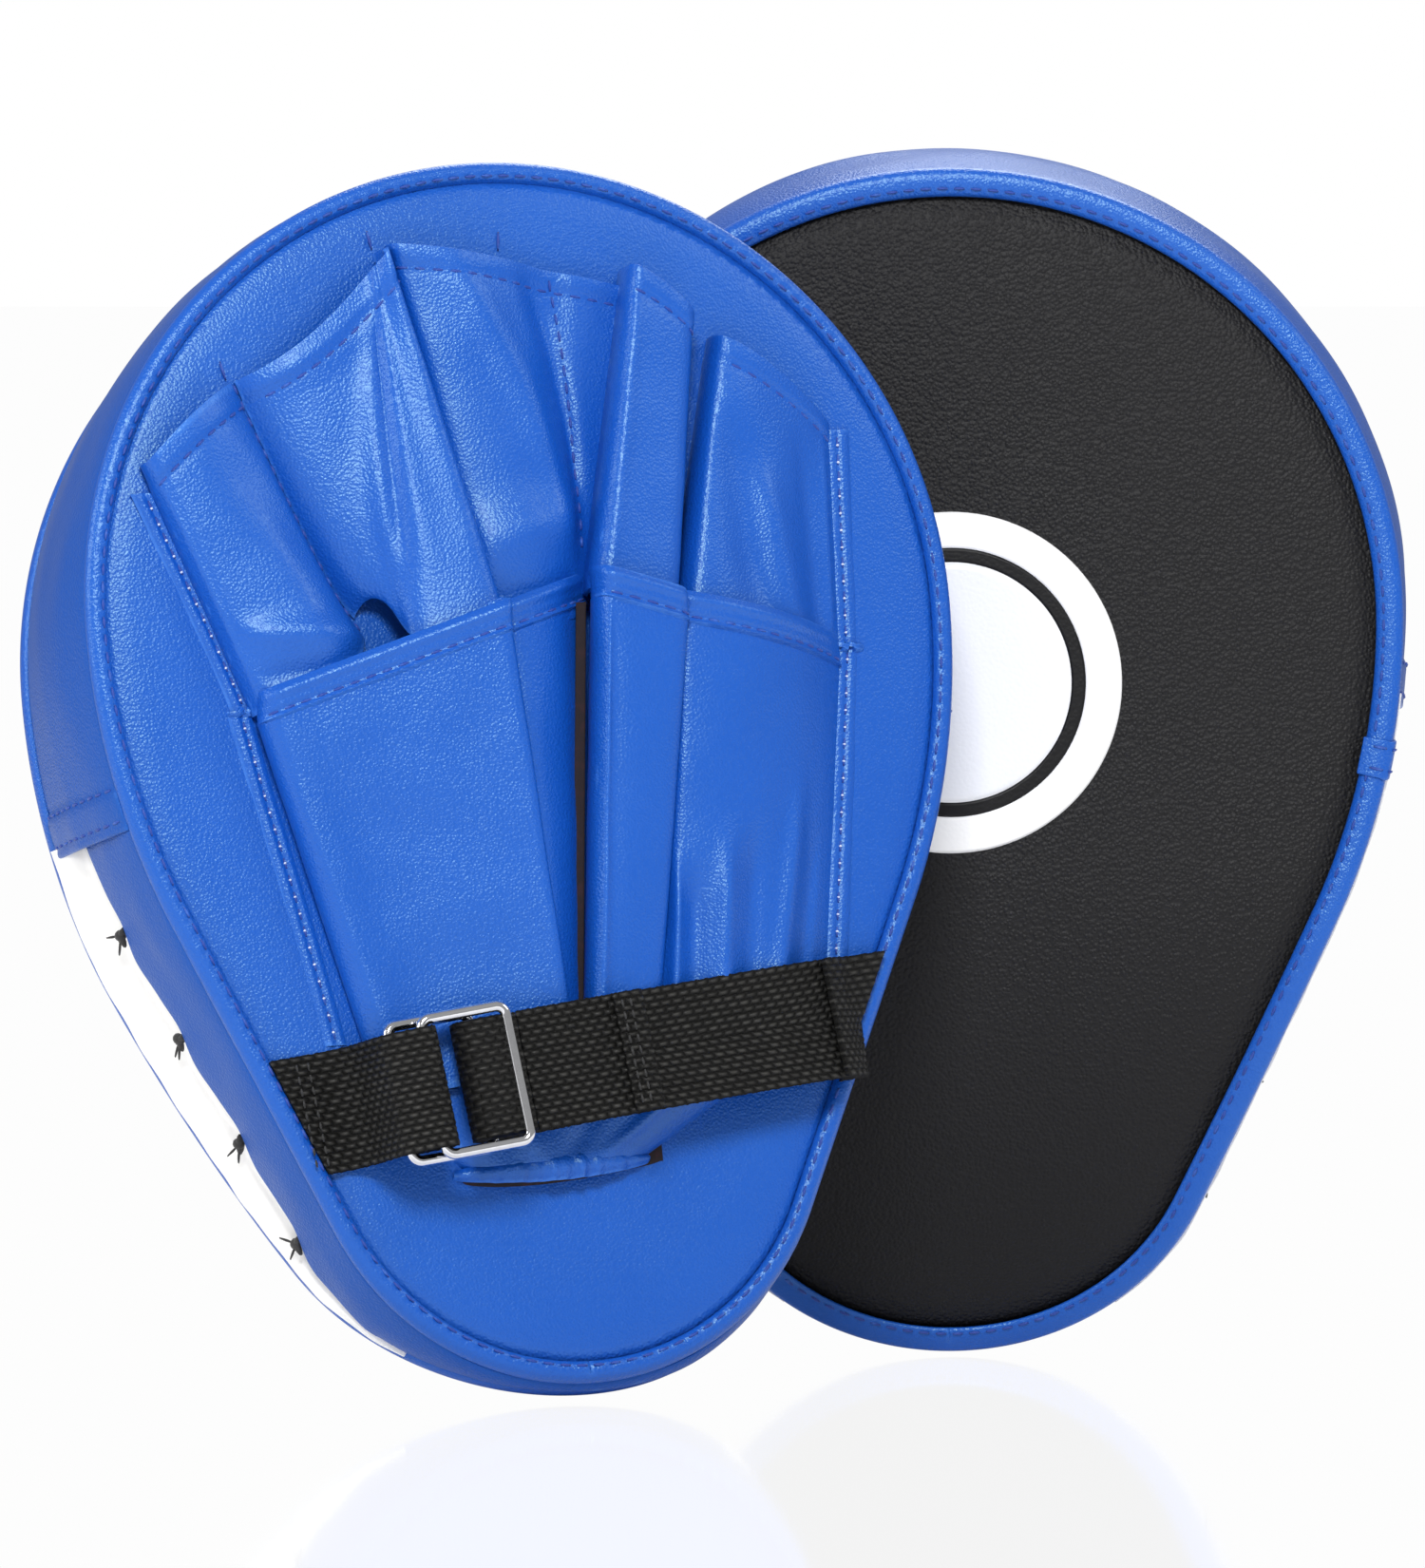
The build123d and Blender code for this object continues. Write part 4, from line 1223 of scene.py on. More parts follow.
    # -------- face
    def on_face(self, a: float, b: float) -> Vector:
        """A point of the face.

        Args:
            a: Place round the outline.
            b: Place from the middle to the binding.

        Returns:
            The point.
        """
        edge = BODY.on_front(a, BODY.binding_width - 0.9, 0.0)
        middle = Vector(self.face_centre)
        spot = middle.lerp(Vector((edge.x, edge.z)), b)
        gap = (Vector((edge.x, edge.z)) - spot).length
        dip = 0.8 + 1.5 * math.exp(-(gap / 3.4) ** 2) + 0.45 * math.exp(-(gap / 12) ** 2)
        uneven = 0.22 * ripple(spot.x, spot.y, 30, 8.1) * ease(gap, 0, 25)
        away = ease(math.dist((spot.x, spot.y), (0, TARGET.height)), TARGET.radius, TARGET.radius + 25)
        return Vector((spot.x, BODY.front(spot.y) - dip + (uneven - 0.22) * away, spot.y))

    def striking_face(self) -> None:
        """The black grained leather, rounded off where the binding draws it in."""
        bm = grid_sheet(200, 60, self.on_face, towards_front, closed=True)
        Make("striking_face", BLACK, "black_leather", skin=1.6).place(bm)

    def on_binding(self, a: float, b: float) -> Vector:
        """A point of the binding.

        Args:
            a: Place round the outline.
            b: Place from the skirt to the face.

        Returns:
            The point.
        """
        section = ((0.15, -3.9), (0.75, -3.2), (1.05, -1.9), (0.9, -0.7), (0.25, 0.15), (-0.9, 0.45),
                   (-2.2, 0.4), (-3.4, 0.1), (-4.4, -0.5), (-4.75, -1.5))
        out, lift = smooth_through(section, b)
        pucker = 0.14 * math.sin(a * BODY.girth / 3.5 * 2 * math.pi) * math.exp(-((out + 3.1) / 0.8) ** 2)
        if out < 0:
            return BODY.on_front(a, -out, lift - pucker)
        return BODY.wall(a, BODY.rim_depth(a) + lift, out)

    def edge_binding(self) -> None:
        """The blue binding round the face, its stitches and its lapped tab."""
        bm = grid_sheet(700, 16, self.on_binding, towards_front, closed=True)
        Make("edge_binding", BLUE, skin=0.7).place(bm)
        seam = bmesh.new()
        points = [BODY.on_front(step / ROUND_STEPS, 3.2, 0.32) for step in range(ROUND_STEPS + 1)]
        Thread().sew(seam, points, [-OFF_THE_BACK] * len(points))
        tab = grid_sheet(14, 12, self.on_tab, from_middle)
        for along in (0.22, 0.78):
            sew_on(seam, self.on_tab, (0.15, along), (0.85, along), Thread(pitch=3.0), Vector((1, 1, 0)))
        Make("binding_thread", BLUE_THREAD).place(seam)
        Make("binding_tab", BLUE, skin=0.8, round_over=0.35).place(tab)

    def on_tab(self, a: float, b: float) -> Vector:
        """A point of the tab that laps over the binding at the little-finger hem.

        Args:
            a: Place across the tab.
            b: Place along the tab.

        Returns:
            The point.
        """
        z = BODY.little_hem - 8.1 - mix(8.0, 0.0, b)
        section = ((1.5, -4.4), (1.75, -1.8), (1.1, 0.4), (-0.8, 1.05), (-2.8, 1.0), (-5.4, 0.2))
        out, lift = smooth_through(section, a)
        share = BODY.share_at(z + BODY.shear * BODY.thickness)
        if out < 0:
            return BODY.on_front(share, -out, lift)
        return BODY.wall(share, BODY.thickness + lift, out)

    # -------- foam
    def foams(self) -> None:
        """The foam block that gives the wedge and the softer sheet under the face."""
        for name, finish, back, front in (("foam_core", CORE_FOAM, None, 11.2),
                                          ("impact_foam", IMPACT_FOAM, 10.6, 3.4)):
            bm = grid_sheet(120, 40, lambda a, b: self.on_foam(a, b, back, front), from_middle, closed=True)
            Make(name, finish, finish.name, fill=0.9).place(bm)

    def on_foam(self, a: float, b: float, back: Optional[float], front: float) -> Vector:
        """A point of a foam block: over its back, round its edge and over its front.

        Args:
            a: Place round the outline.
            b: Place over the back, the edge and the front.
            back: How far the block's back lies behind the mitt's front, or None for the full depth.
            front: How far the block's front lies behind the mitt's front.

        Returns:
            The point.
        """
        rim = BODY.on_front(a, 3.0, 0.0)
        rise = 0.5 - 0.5 * math.cos(math.pi * ease(b, 0.42, 0.58))
        spread = min(1.0, b / 0.42, (1 - b) / 0.42)
        spot = Vector(self.back_centre).lerp(Vector((rim.x, rim.z)), spread)
        face = BODY.front(spot.y) - front
        low = 2.2 if back is None else min(BODY.front(spot.y) - back, face - 1.0)
        round_off = 1.2 * math.sin(math.pi * rise) * (1 if spread > 0.98 else 0)
        shift = BODY.shear * (BODY.front(spot.y) - mix(low, face, rise)) * spread
        x = spot.x + math.copysign(round_off, spot.x)
        return Vector((x, mix(low, max(face, low + 0.6), rise), spot.y + shift))


def sew_round(bm: BMesh, rim: Callable[[float], tuple], inset: float, depth: float) -> None:
    """Sews a row of stitches right round the outline.

    Args:
        bm: Mesh that takes the stitches.
        rim: The outline: a place and its normal for each share.
        inset: Distance of the row inside the outline.
        depth: Depth of the row.
    """
    points = []
    for step in range(ROUND_STEPS + 1):
        x, z, nx, nz = rim(step / ROUND_STEPS)
        points.append(Vector((x - nx * inset, depth, z - nz * inset)))
    Thread(length=2.6, pitch=3.6).sew(bm, points, [OFF_THE_BACK] * len(points))


def join_into(whole: BMesh, part: BMesh) -> None:
    """Moves the part's mesh into the whole one.

    Args:
        whole: Mesh that grows.
        part: Mesh that is joined to it and freed.
    """
    mesh = bpy.data.meshes.new("joining")
    part.to_mesh(mesh)
    part.free()
    whole.from_mesh(mesh)
    bpy.data.meshes.remove(mesh)


@dataclass
class Lacing:
    """The black ties that lace the white strips to the wrap.

    Attributes:
        skins: The body that they lace.
        heights: Heights of the ties on each side.
    """

    skins: BodySkins
    heights: ClassVar[tuple[float, ...]] = (33.0, 54.0, 76.0, 98.0)

    def build(self) -> None:
        """Makes the knots and their cut ends on both sides."""
        bm = bmesh.new()
        for side in (-1, 1):
            for number, height in enumerate(self.heights):
                self.knot(bm, side, height, number)
        Make("lacing_ties", CORD, "black_cord").place(bm)

    def knot(self, bm: BMesh, side: int, height: float, number: int) -> None:
        """One knot over the wrap's edge: two crossed turns and two cut ends.

        Args:
            bm: Mesh that takes the knot.
            side: 1 on the little-finger side, -1 on the thumb side.
            height: Height of the tie.
            number: Number of the tie, which sets how it lies.
        """
        depth = self.skins.wrap_edge(height) + 2.2
        share = BODY.share_at(height + BODY.shear * depth)
        share = share if side > 0 else 1 - share
        centre = BODY.wall(share, depth, 0.9)
        out = (BODY.wall(share, depth, 2.0) - BODY.wall(share, depth, 1.0)).normalized()
        inward = (BODY.wall(share, depth + 1, 0) - BODY.wall(share, depth, 0)).normalized()
        up = out.cross(inward).normalized()
        sizes = ((2.6, 0.75, 0.95), (1.5, 1.25, 1.15), (1.9, 0.7, 0.7))
        turns = (0.35, -0.5, 1.0)
        for index, ((length, width, rise), turn) in enumerate(zip(sizes, turns)):
            lean = turn + 0.35 * math.sin(number * 2.1 + index)
            along = (inward * math.cos(lean) + up * math.sin(lean)).normalized()
            across = out.cross(along).normalized()
            basis = Matrix((along * length, across * width, out * rise)).transposed().to_4x4()
            shift = centre + along * (0.4 * index) + out * (0.15 * index)
            bmesh.ops.create_uvsphere(bm, u_segments=10, v_segments=6, radius=1.0,
                                      matrix=Matrix.Translation(shift) @ basis)
        for turn in (0.5, -0.9):
            along = (inward * math.cos(turn) * -side + up * math.sin(turn + number) + out * 0.35).normalized()
            across = out.cross(along).normalized()
            basis = Matrix((along * 2.1, across * 0.3, out * 0.3)).transposed().to_4x4()
            bmesh.ops.create_uvsphere(bm, u_segments=6, v_segments=6, radius=1.0,
                                      matrix=Matrix.Translation(centre + along * 2.4 + out * 0.3) @ basis)


@dataclass(frozen=True)
class Target:
    """The white disc on the face with its black ring.

    Attributes:
        height: Height of its middle.
        radius: Radius of the disc.
        ring_outer: Outer radius of the ring.
        ring_inner: Inner radius of the ring.
        depth: Depth of the face under it.
    """

    height: float = 136.0
    radius: float = 35.5
    ring_outer: float = 28.0
    ring_inner: float = 25.0
    depth: float = 44.2

    def disc(self, inner: float, outer: float, lift: float, rows: int) -> BMesh:
        """A flat ring or disc of sheet with a softly rounded edge.

        Args:
            inner: Inner radius.
            outer: Outer radius.
            lift: Height over the face.
            rows: Rows of faces from the inside to the outside.

        Returns:
            The sheet.
        """

        def place(a: float, b: float) -> Vector:
            """A point of the sheet.

            Args:
                a: Place round the middle.
                b: Place from the inside to the outside.

            Returns:
                The point.
            """
            turn = a * 2 * math.pi
            radius = mix(inner, outer, b)
            edge = 0.35 * ease(radius, outer - 0.7, outer) if outer == self.radius else 0.0
            return Vector((radius * math.cos(turn), self.depth + lift - edge,
                           self.height + radius * math.sin(turn)))

        return grid_sheet(128, rows, place, towards_front, closed=True)

    def build(self) -> None:
        """Makes the disc's middle, its rim and the black ring between them; the middle's white is painted
        dimmer than the rim's as painted shade.
        """
        whole = self.disc(0.0, self.ring_inner, 0.5, 16)
        Make("target_patch", DISC, "target_white", skin=0.4).place(whole)
        rim = self.disc(self.ring_outer, self.radius, 0.5, 10)
        Make("target_rim", DISC_RIM, "target_white", skin=0.4).place(rim)
        ring = self.disc(self.ring_inner, self.ring_outer, 0.47, 5)
        Make("target_ring", DISC_RING, "target_black", skin=0.35).place(ring)


TARGET = Target()


# -------- panels of the hand pocket
@dataclass(frozen=True)
class Crease:
    """A soft fold or groove in a panel.

    Attributes:
        way: Whether it runs up the panel or across it.
        start: Place across and along where it starts.
        end: Place across and along where it ends.
        width: Half width in millimetres.
        rise: Height in millimetres, below 0 for a groove.
    """

    way: Way
    start: Pair
    end: Pair
    width: float
    rise: float

    def lift(self, a: float, b: float, across: float, along: float) -> float:
        """How far the crease lifts the panel at a place, for a panel of that size.

        Args:
            a: Place across the panel.
            b: Place along the panel.
            across: Width of the panel.
            along: Length of the panel.

        Returns:
            The height, which is negative in a groove.
        """
        if self.way is Way.UP:
            share = (b - self.start[1]) / (self.end[1] - self.start[1])
            gap = (a - mix(self.start[0], self.end[0], share)) * across
        else:
            share = (a - self.start[0]) / (self.end[0] - self.start[0])
            gap = (b - mix(self.start[1], self.end[1], share)) * along
        if share < -0.15 or share > 1.15:
            return 0.0
        fade = ease(share, -0.15, 0.25) * (1 - ease(share, 0.75, 1.15))
        return self.rise * fade * math.exp(-(gap / self.width) ** 2)


@dataclass(frozen=True)
class Row:
    """A row of stitches on a panel.

    Attributes:
        start: Place across and along where it starts.
        end: Place across and along where it ends.
        white: True for the pale thread, a painted glint.
    """

    start: Pair
    end: Pair
    white: bool = False


@dataclass(frozen=True)
class Panel:
    """A strip of leather lofted between two cross-sections that stand on the back.

    Each cross-section is a line of places, the share across between its feet and the height off the back.

    Attributes:
        name: Name of the piece.
        feet_low: Left and right foot of the lower end, each x and z.
        feet_high: Left and right foot of the upper end.
        low: Cross-section of the lower end.
        high: Cross-section of the upper end.
        creases: Folds and grooves.
        rows: Rows of stitches.
        bow_low: How far the lower edge bows up between its feet.
        bow_high: How far the upper edge bows up between its feet.
        notch: Place across, width and height of a cut in the lower edge.
        hem: Width of the folded hem at the upper end.
        uneven: Height of the slow unevenness.
        skin: Thickness of the leather.
        columns: Faces across.
        lines: Faces along.
        finish: Finish of the leather.
    """

    name: str
    feet_low: tuple[Pair, Pair]
    feet_high: tuple[Pair, Pair]
    low: tuple[Pair, ...]
    high: tuple[Pair, ...]
    creases: tuple[Crease, ...] = ()
    rows: tuple[Row, ...] = ()
    bow_low: float = 0.0
    bow_high: float = 0.0
    notch: tuple[float, float, float] = (0.0, 1.0, 0.0)
    hem: float = 0.0
    uneven: float = 0.35
    skin: float = 1.2
    columns: int = 84
    lines: int = 64
    finish: LeatherFinish = BLUE

    def place(self, a: float, b: float) -> Vector:
        """The point at a place across and along the panel.

        Args:
            a: Place across.
            b: Place along.

        Returns:
            The point.
        """
        left = mix_pair(self.feet_low[0], self.feet_high[0], b)
        right = mix_pair(self.feet_low[1], self.feet_high[1], b)
        low, high = smooth_through(self.low, a), smooth_through(self.high, a)
        share, height = mix_pair(low, high, b)
        x, z = mix_pair(left, right, share)
        across = math.dist(left, right)
        along = math.dist(self.feet_low[0], self.feet_high[0])
        inside = min(max(share, 0.0), 1.0)
        z += mix(self.bow_low, self.bow_high, b) * 4 * inside * (1 - inside)
        z += self.notch[2] * math.exp(-((a - self.notch[0]) / self.notch[1]) ** 2) * (1 - b) ** 5
        for crease in self.creases:
            height += crease.lift(a, b, across, along)
        height += self.uneven * ripple(x, z, 13, len(self.name)) * ease(height, 0.5, 4)
        if self.hem:
            gap = (1 - b) * along
            height += 0.55 * (1 - ease(gap, self.hem - 0.4, self.hem + 0.8))
            height -= 0.5 * math.exp(-((gap - self.hem) / 0.8) ** 2)
        return Vector((x, -height, z))

    def build(self) -> None:
        """Makes the panel and its stitches."""
        bm = grid_sheet(self.columns, self.lines, self.place, off_back)
        Make(self.name, self.finish, skin=self.skin, round_over=0.45).place(bm)

    def sew(self, blue: BMesh, white: BMesh) -> None:
        """Adds the panel's stitches to the meshes of blue thread and of pale painted-glint thread.

        Args:
            blue: Mesh of the blue thread.
            white: Mesh of the pale thread, a painted glint.
        """
        for row in self.rows:
            thread = Thread(length=0.9, pitch=3.4, radius=0.3) if row.white else Thread()
            sew_on(white if row.white else blue, self.place, row.start, row.end, thread, OFF_THE_BACK)


def strap_line(x: float) -> Pair:
    """The point on the strap's centre line at the given x."""
    return x, STRAP_START[1] + (x - STRAP_START[0]) * math.tan(math.radians(STRAP_SLOPE))


STALLS = (
    Panel(
        "thumb_stall", ((-60.8, 137.4), (-35.2, 146.6)), ((-80.2, 189.5), (-58.9, 206.2)),
        low=((0.03, 0.0), (0.0, 2.0), (0.02, 4.6), (0.07, 6.8), (0.2, 8.6), (0.45, 10.6), (0.7, 11.4),
             (0.9, 8.0), (1.0, 2.0)),
        notch=(1.0, 0.16, 6.0),
        high=((0.02, 0.0), (0.0, 2.0), (0.0, 4.5), (0.05, 6.6), (0.16, 7.6), (0.45, 7.8), (0.72, 6.0),
              (0.92, 3.0), (1.0, 0.9)),
        creases=(Crease(Way.UP, (0.34, 0.15), (0.34, 0.95), 1.3, 0.5),
                 Crease(Way.ACROSS, (0.45, 0.28), (0.98, 0.06), 3.0, 1.4),
                 Crease(Way.ACROSS, (0.45, 0.12), (0.98, -0.04), 2.5, -1.2),
                 Crease(Way.UP, (0.86, 0.35), (0.7, 0.85), 2.2, -0.6)),
        rows=(Row((0.3, 0.9), (0.98, 0.915)), Row((0.985, 0.03), (0.985, 1.0))),
        bow_high=1.5, hem=5.0,
    ),
    Panel(
        "index_stall", ((-37.0, 150.0), (-10.0, 152.0)), ((-58.4, 206.3), (-25.5, 231.8)),
        low=((0.0, 1.4), (0.08, 5.5), (0.2, 8.0), (0.27, 10.0), (0.31, 12.6), (0.4, 14.4), (0.55, 15.6),
             (0.78, 16.8), (0.94, 17.0), (1.02, 16.0), (1.04, 14.0), (0.98, 12.8)),
        notch=(0.1, 0.16, 10.0),
        high=((0.0, 0.9), (0.12, 3.6), (0.32, 6.0), (0.6, 7.2), (0.84, 7.6), (0.885, 8.8), (0.91, 8.6),
              (0.935, 9.8), (0.96, 10.6), (0.985, 10.0), (1.0, 7.0), (0.99, 3.0)),
        creases=(Crease(Way.UP, (0.30, 0.25), (0.36, 0.9), 1.4, 0.7),
                 Crease(Way.UP, (0.42, 0.2), (0.44, 0.95), 1.7, -0.8),
                 Crease(Way.UP, (0.54, 0.15), (0.53, 0.95), 2.0, 0.8),
                 Crease(Way.ACROSS, (0.05, 0.97), (0.45, 0.88), 3.0, 0.5)),
        rows=(Row((0.08, 0.91), (0.9, 0.91)),),
        bow_high=-3.5, hem=4.6,
    ),
    Panel(
        "middle_stall", ((-12.0, 150.0), (11.5, 155.0)), ((-24.9, 232.6), (26.0, 222.8)),
        low=((0.0, 5.0), (0.08, 9.0), (0.22, 11.2), (0.45, 12.0), (0.65, 11.2), (0.82, 9.0), (0.92, 6.5),
             (1.0, 4.0)),
        high=((0.01, 1.5), (0.0, 6.0), (0.04, 9.0), (0.25, 10.4), (0.5, 8.4), (0.68, 4.6), (0.8, 5.2),
              (1.0, 5.0)),
        creases=(Crease(Way.UP, (0.72, 0.2), (0.42, 0.98), 3.0, 1.7),
                 Crease(Way.UP, (0.85, 0.3), (0.62, 0.98), 2.4, -1.5),
                 Crease(Way.ACROSS, (0.1, 0.22), (0.8, 0.3), 6.0, 1.6),
                 Crease(Way.ACROSS, (0.1, 0.08), (0.8, 0.10), 4.0, -1.3)),
        rows=(Row((0.18, 0.94), (0.98, 0.94)), Row((0.86, 0.2), (0.715, 0.98))),
        bow_high=0.8, hem=4.4,
    ),
    Panel(
        "ring_stall", ((10.2, 159.5), (28.3, 154.3)), ((25.6, 226.6), (39.4, 216.2)),
        low=((0.06, 2.0), (0.02, 7.0), (-0.02, 12.0), (0.01, 15.6), (0.1, 17.4), (0.3, 17.6), (0.6, 17.2),
             (0.88, 16.2), (1.0, 13.6), (1.02, 9.0), (1.0, 3.0)),
        high=((0.05, 1.0), (0.02, 4.0), (0.0, 8.0), (0.02, 11.0), (0.1, 12.6), (0.3, 12.6), (0.6, 12.0),
              (0.88, 11.0), (1.0, 8.6), (1.02, 5.0), (1.0, 1.0)),
        creases=(Crease(Way.UP, (0.42, 0.05), (0.42, 0.9), 1.0, 0.5),),
        rows=(Row((0.36, 0.925), (0.8, 0.925)),),
        bow_high=1.0, hem=4.8,
    ),
    Panel(
        "little_stall", ((29.2, 153.4), (67.5, 145.6)), ((43.6, 211.8), (69.5, 193.5)),
        low=((0.02, 2.0), (0.0, 8.0), (0.02, 12.6), (0.08, 14.8), (0.25, 14.6), (0.45, 12.4), (0.65, 9.4),
             (0.82, 6.0), (0.95, 2.8), (1.0, 1.2)),
        high=((0.03, 0.5), (0.0, 4.0), (0.01, 8.0), (0.07, 10.4), (0.25, 10.4), (0.45, 9.0), (0.65, 7.2),
              (0.82, 5.0), (0.95, 2.6), (1.0, 1.2)),
        creases=(Crease(Way.UP, (0.55, 0.1), (0.42, 0.75), 3.2, -1.6),
                 Crease(Way.UP, (0.7, 0.0), (0.55, 0.6), 2.6, 1.6),
                 Crease(Way.UP, (0.8, 0.0), (0.72, 0.8), 2.0, -1.0),
                 Crease(Way.UP, (0.88, 0.05), (0.86, 0.9), 1.4, 0.9)),
        rows=(Row((0.36, 0.915), (0.97, 0.915)),),
        bow_high=1.5, hem=4.6,
    ),
)

# Upper cross-sections of the covers. The knuckle band follows them.
THUMB_HIGH = ((0.03, 0.0), (0.0, 3.5), (0.0, 6.8), (0.035, 9.4), (0.09, 10.6), (0.2, 11.6), (0.4, 13.8),
              (0.65, 16.6), (0.88, 19.0), (0.97, 19.7), (1.0, 18.4), (0.985, 16.4), (0.93, 15.4))
MIDDLE_HIGH = ((-0.25, 12.8), (0.05, 13.2), (0.35, 13.2), (0.7, 11.4), (0.95, 8.0), (1.15, 4.5))
RING_HIGH = ((0.12, 9.0), (0.03, 12.0), (-0.01, 16.0), (0.01, 19.4), (0.07, 21.2), (0.18, 21.8), (0.5, 21.6),
             (0.85, 20.8), (0.98, 19.4), (1.0, 17.4), (0.97, 16.0))
OUTER_HIGH = ((-0.06, 13.5), (0.03, 16.4), (0.12, 17.4), (0.3, 17.4), (0.5, 15.6), (0.7, 11.8), (0.86, 7.0),
              (0.95, 3.6), (1.0, 1.3))

COVERS = (
    Panel(
        "thumb_cover", (strap_line(-40.0), strap_line(-1.0)), ((-60.5, 136.0), (-9.4, 151.6)),
        low=((0.03, 0.0), (0.0, 2.0), (0.01, 4.4), (0.06, 6.4), (0.13, 7.4), (0.25, 8.0), (0.45, 9.2),
             (0.7, 10.8), (0.9, 12.0), (0.97, 12.2), (1.0, 11.2), (0.985, 9.6), (0.93, 9.0)),
        high=THUMB_HIGH,
        creases=(Crease(Way.UP, (0.3, 0.02), (0.22, 0.9), 3.0, 0.5),
                 Crease(Way.UP, (0.5, 0.0), (0.44, 0.8), 4.0, -0.6),
                 Crease(Way.UP, (0.8, 0.1), (0.72, 0.95), 6.0, 0.7)),
    ),
    Panel(
        "middle_cover", (strap_line(-6.0), strap_line(6.0)), ((-9.4, 151.5), (9.3, 157.5)),
        low=((0.0, 7.4), (0.2, 7.4), (0.4, 7.0), (0.6, 6.0), (0.8, 4.2), (1.0, 2.6)),
        high=MIDDLE_HIGH,
        creases=(Crease(Way.UP, (0.3, 0.2), (0.3, 0.95), 3.0, 0.8),),
        columns=36,
    ),
    Panel(
        "ring_cover", (strap_line(1.5), strap_line(16.8)), ((9.7, 157.5), (28.6, 152.0)),
        low=((0.14, 4.0), (0.04, 6.0), (0.0, 8.8), (0.02, 11.4), (0.1, 13.0), (0.25, 13.4), (0.5, 13.2),
             (0.85, 12.4), (0.98, 11.2), (1.0, 9.8), (0.97, 8.8)),
        high=RING_HIGH,
        creases=(Crease(Way.UP, (0.45, 0.02), (0.41, 0.98), 0.9, 0.8),
                 Crease(Way.UP, (0.5, 0.0), (0.47, 0.95), 1.0, -0.5)),
    ),
    Panel(
        "outer_cover", (strap_line(15.5), strap_line(57.0)), ((26.5, 152.6), (67.3, 144.0)),
        low=((0.0, 7.6), (0.04, 9.8), (0.12, 10.8), (0.3, 11.2), (0.5, 10.2), (0.7, 8.0), (0.86, 5.0),
             (0.95, 2.8), (1.0, 1.2)),
        high=OUTER_HIGH,
        creases=(Crease(Way.UP, (0.24, -0.05), (0.20, 0.42), 1.7, 2.1),
                 Crease(Way.UP, (0.33, -0.05), (0.30, 0.40), 1.4, -1.5),
                 Crease(Way.UP, (0.42, -0.05), (0.40, 0.48), 1.5, 1.8),
                 Crease(Way.UP, (0.51, -0.05), (0.50, 0.5), 1.5, -1.3),
                 Crease(Way.UP, (0.6, -0.05), (0.66, 0.62), 1.7, 1.7),
                 Crease(Way.UP, (0.7, -0.05), (0.75, 0.5), 1.9, -1.0),
                 Crease(Way.UP, (0.15, 0.0), (0.13, 0.9), 2.0, -0.9)),
        columns=96, lines=80,
    ),
)


def band_strip(name: str, feet: tuple[Pair, Pair], section: tuple[Pair, ...],
               sewn: Pair) -> Panel:
    """One strip of the knuckle band: the folded top hem of a cover, a little proud of it.

    Args:
        name: Name of the strip.
        feet: Where its two ends stand.
        section: Its section.
        sewn: Where its row of stitches starts and ends, as shares of its length.

    Returns:
        The strip.
    """
    lower = tuple((x, z - 0.4) for x, z in feet)
    upper = tuple((x, z + 5.9) for x, z in feet)
    proud = tuple((share, height + 0.9) for share, height in section)
    rolled = tuple((share, height + 0.1) for share, height in section)
    return Panel(
        name, lower, upper, proud, rolled,
        creases=(Crease(Way.ACROSS, (0.0, 0.74), (1.0, 0.74), 1.3, 1.0),
                 Crease(Way.ACROSS, (0.0, 0.16), (1.0, 0.16), 0.7, -0.6)),
        rows=(Row((sewn[0], 0.14), (sewn[1], 0.14)),),
        uneven=0.2, skin=1.6, lines=14,
    )


BANDS = (
    band_strip("knuckle_band", ((-60.5, 136.0), (-9.4, 151.6)), THUMB_HIGH, (0.2, 0.76)),
    band_strip("knuckle_band_middle", ((-9.4, 151.5), (9.3, 157.5)), MIDDLE_HIGH, (0.15, 0.95)),
    band_strip("knuckle_band_ring", ((9.7, 157.5), (28.6, 152.0)), RING_HIGH, (0.38, 0.85)),
    band_strip("knuckle_band_outer", ((26.5, 152.6), (67.3, 144.0)), OUTER_HIGH, (0.18, 0.98)),
)

WRIST = (
    Panel(
        "wrist_cover", ((-24.0, 43.5), (16.0, 44.5)), (strap_line(-40.0), strap_line(57.0)),
        low=((0.0, 0.4), (0.06, 3.0), (0.2, 5.4), (0.5, 6.6), (0.8, 5.2), (0.94, 2.8), (1.0, 0.4)),
        high=((0.0, 0.4), (0.06, 4.0), (0.2, 6.6), (0.5, 8.4), (0.8, 6.8), (0.94, 3.6), (1.0, 0.4)),
        creases=(Crease(Way.UP, (0.42, 0.0), (0.36, 0.95), 1.6, 1.2),
                 Crease(Way.UP, (0.52, 0.0), (0.5, 0.95), 1.5, -0.9),
                 Crease(Way.UP, (0.62, 0.0), (0.66, 0.9), 1.5, 1.0)),
    ),
)


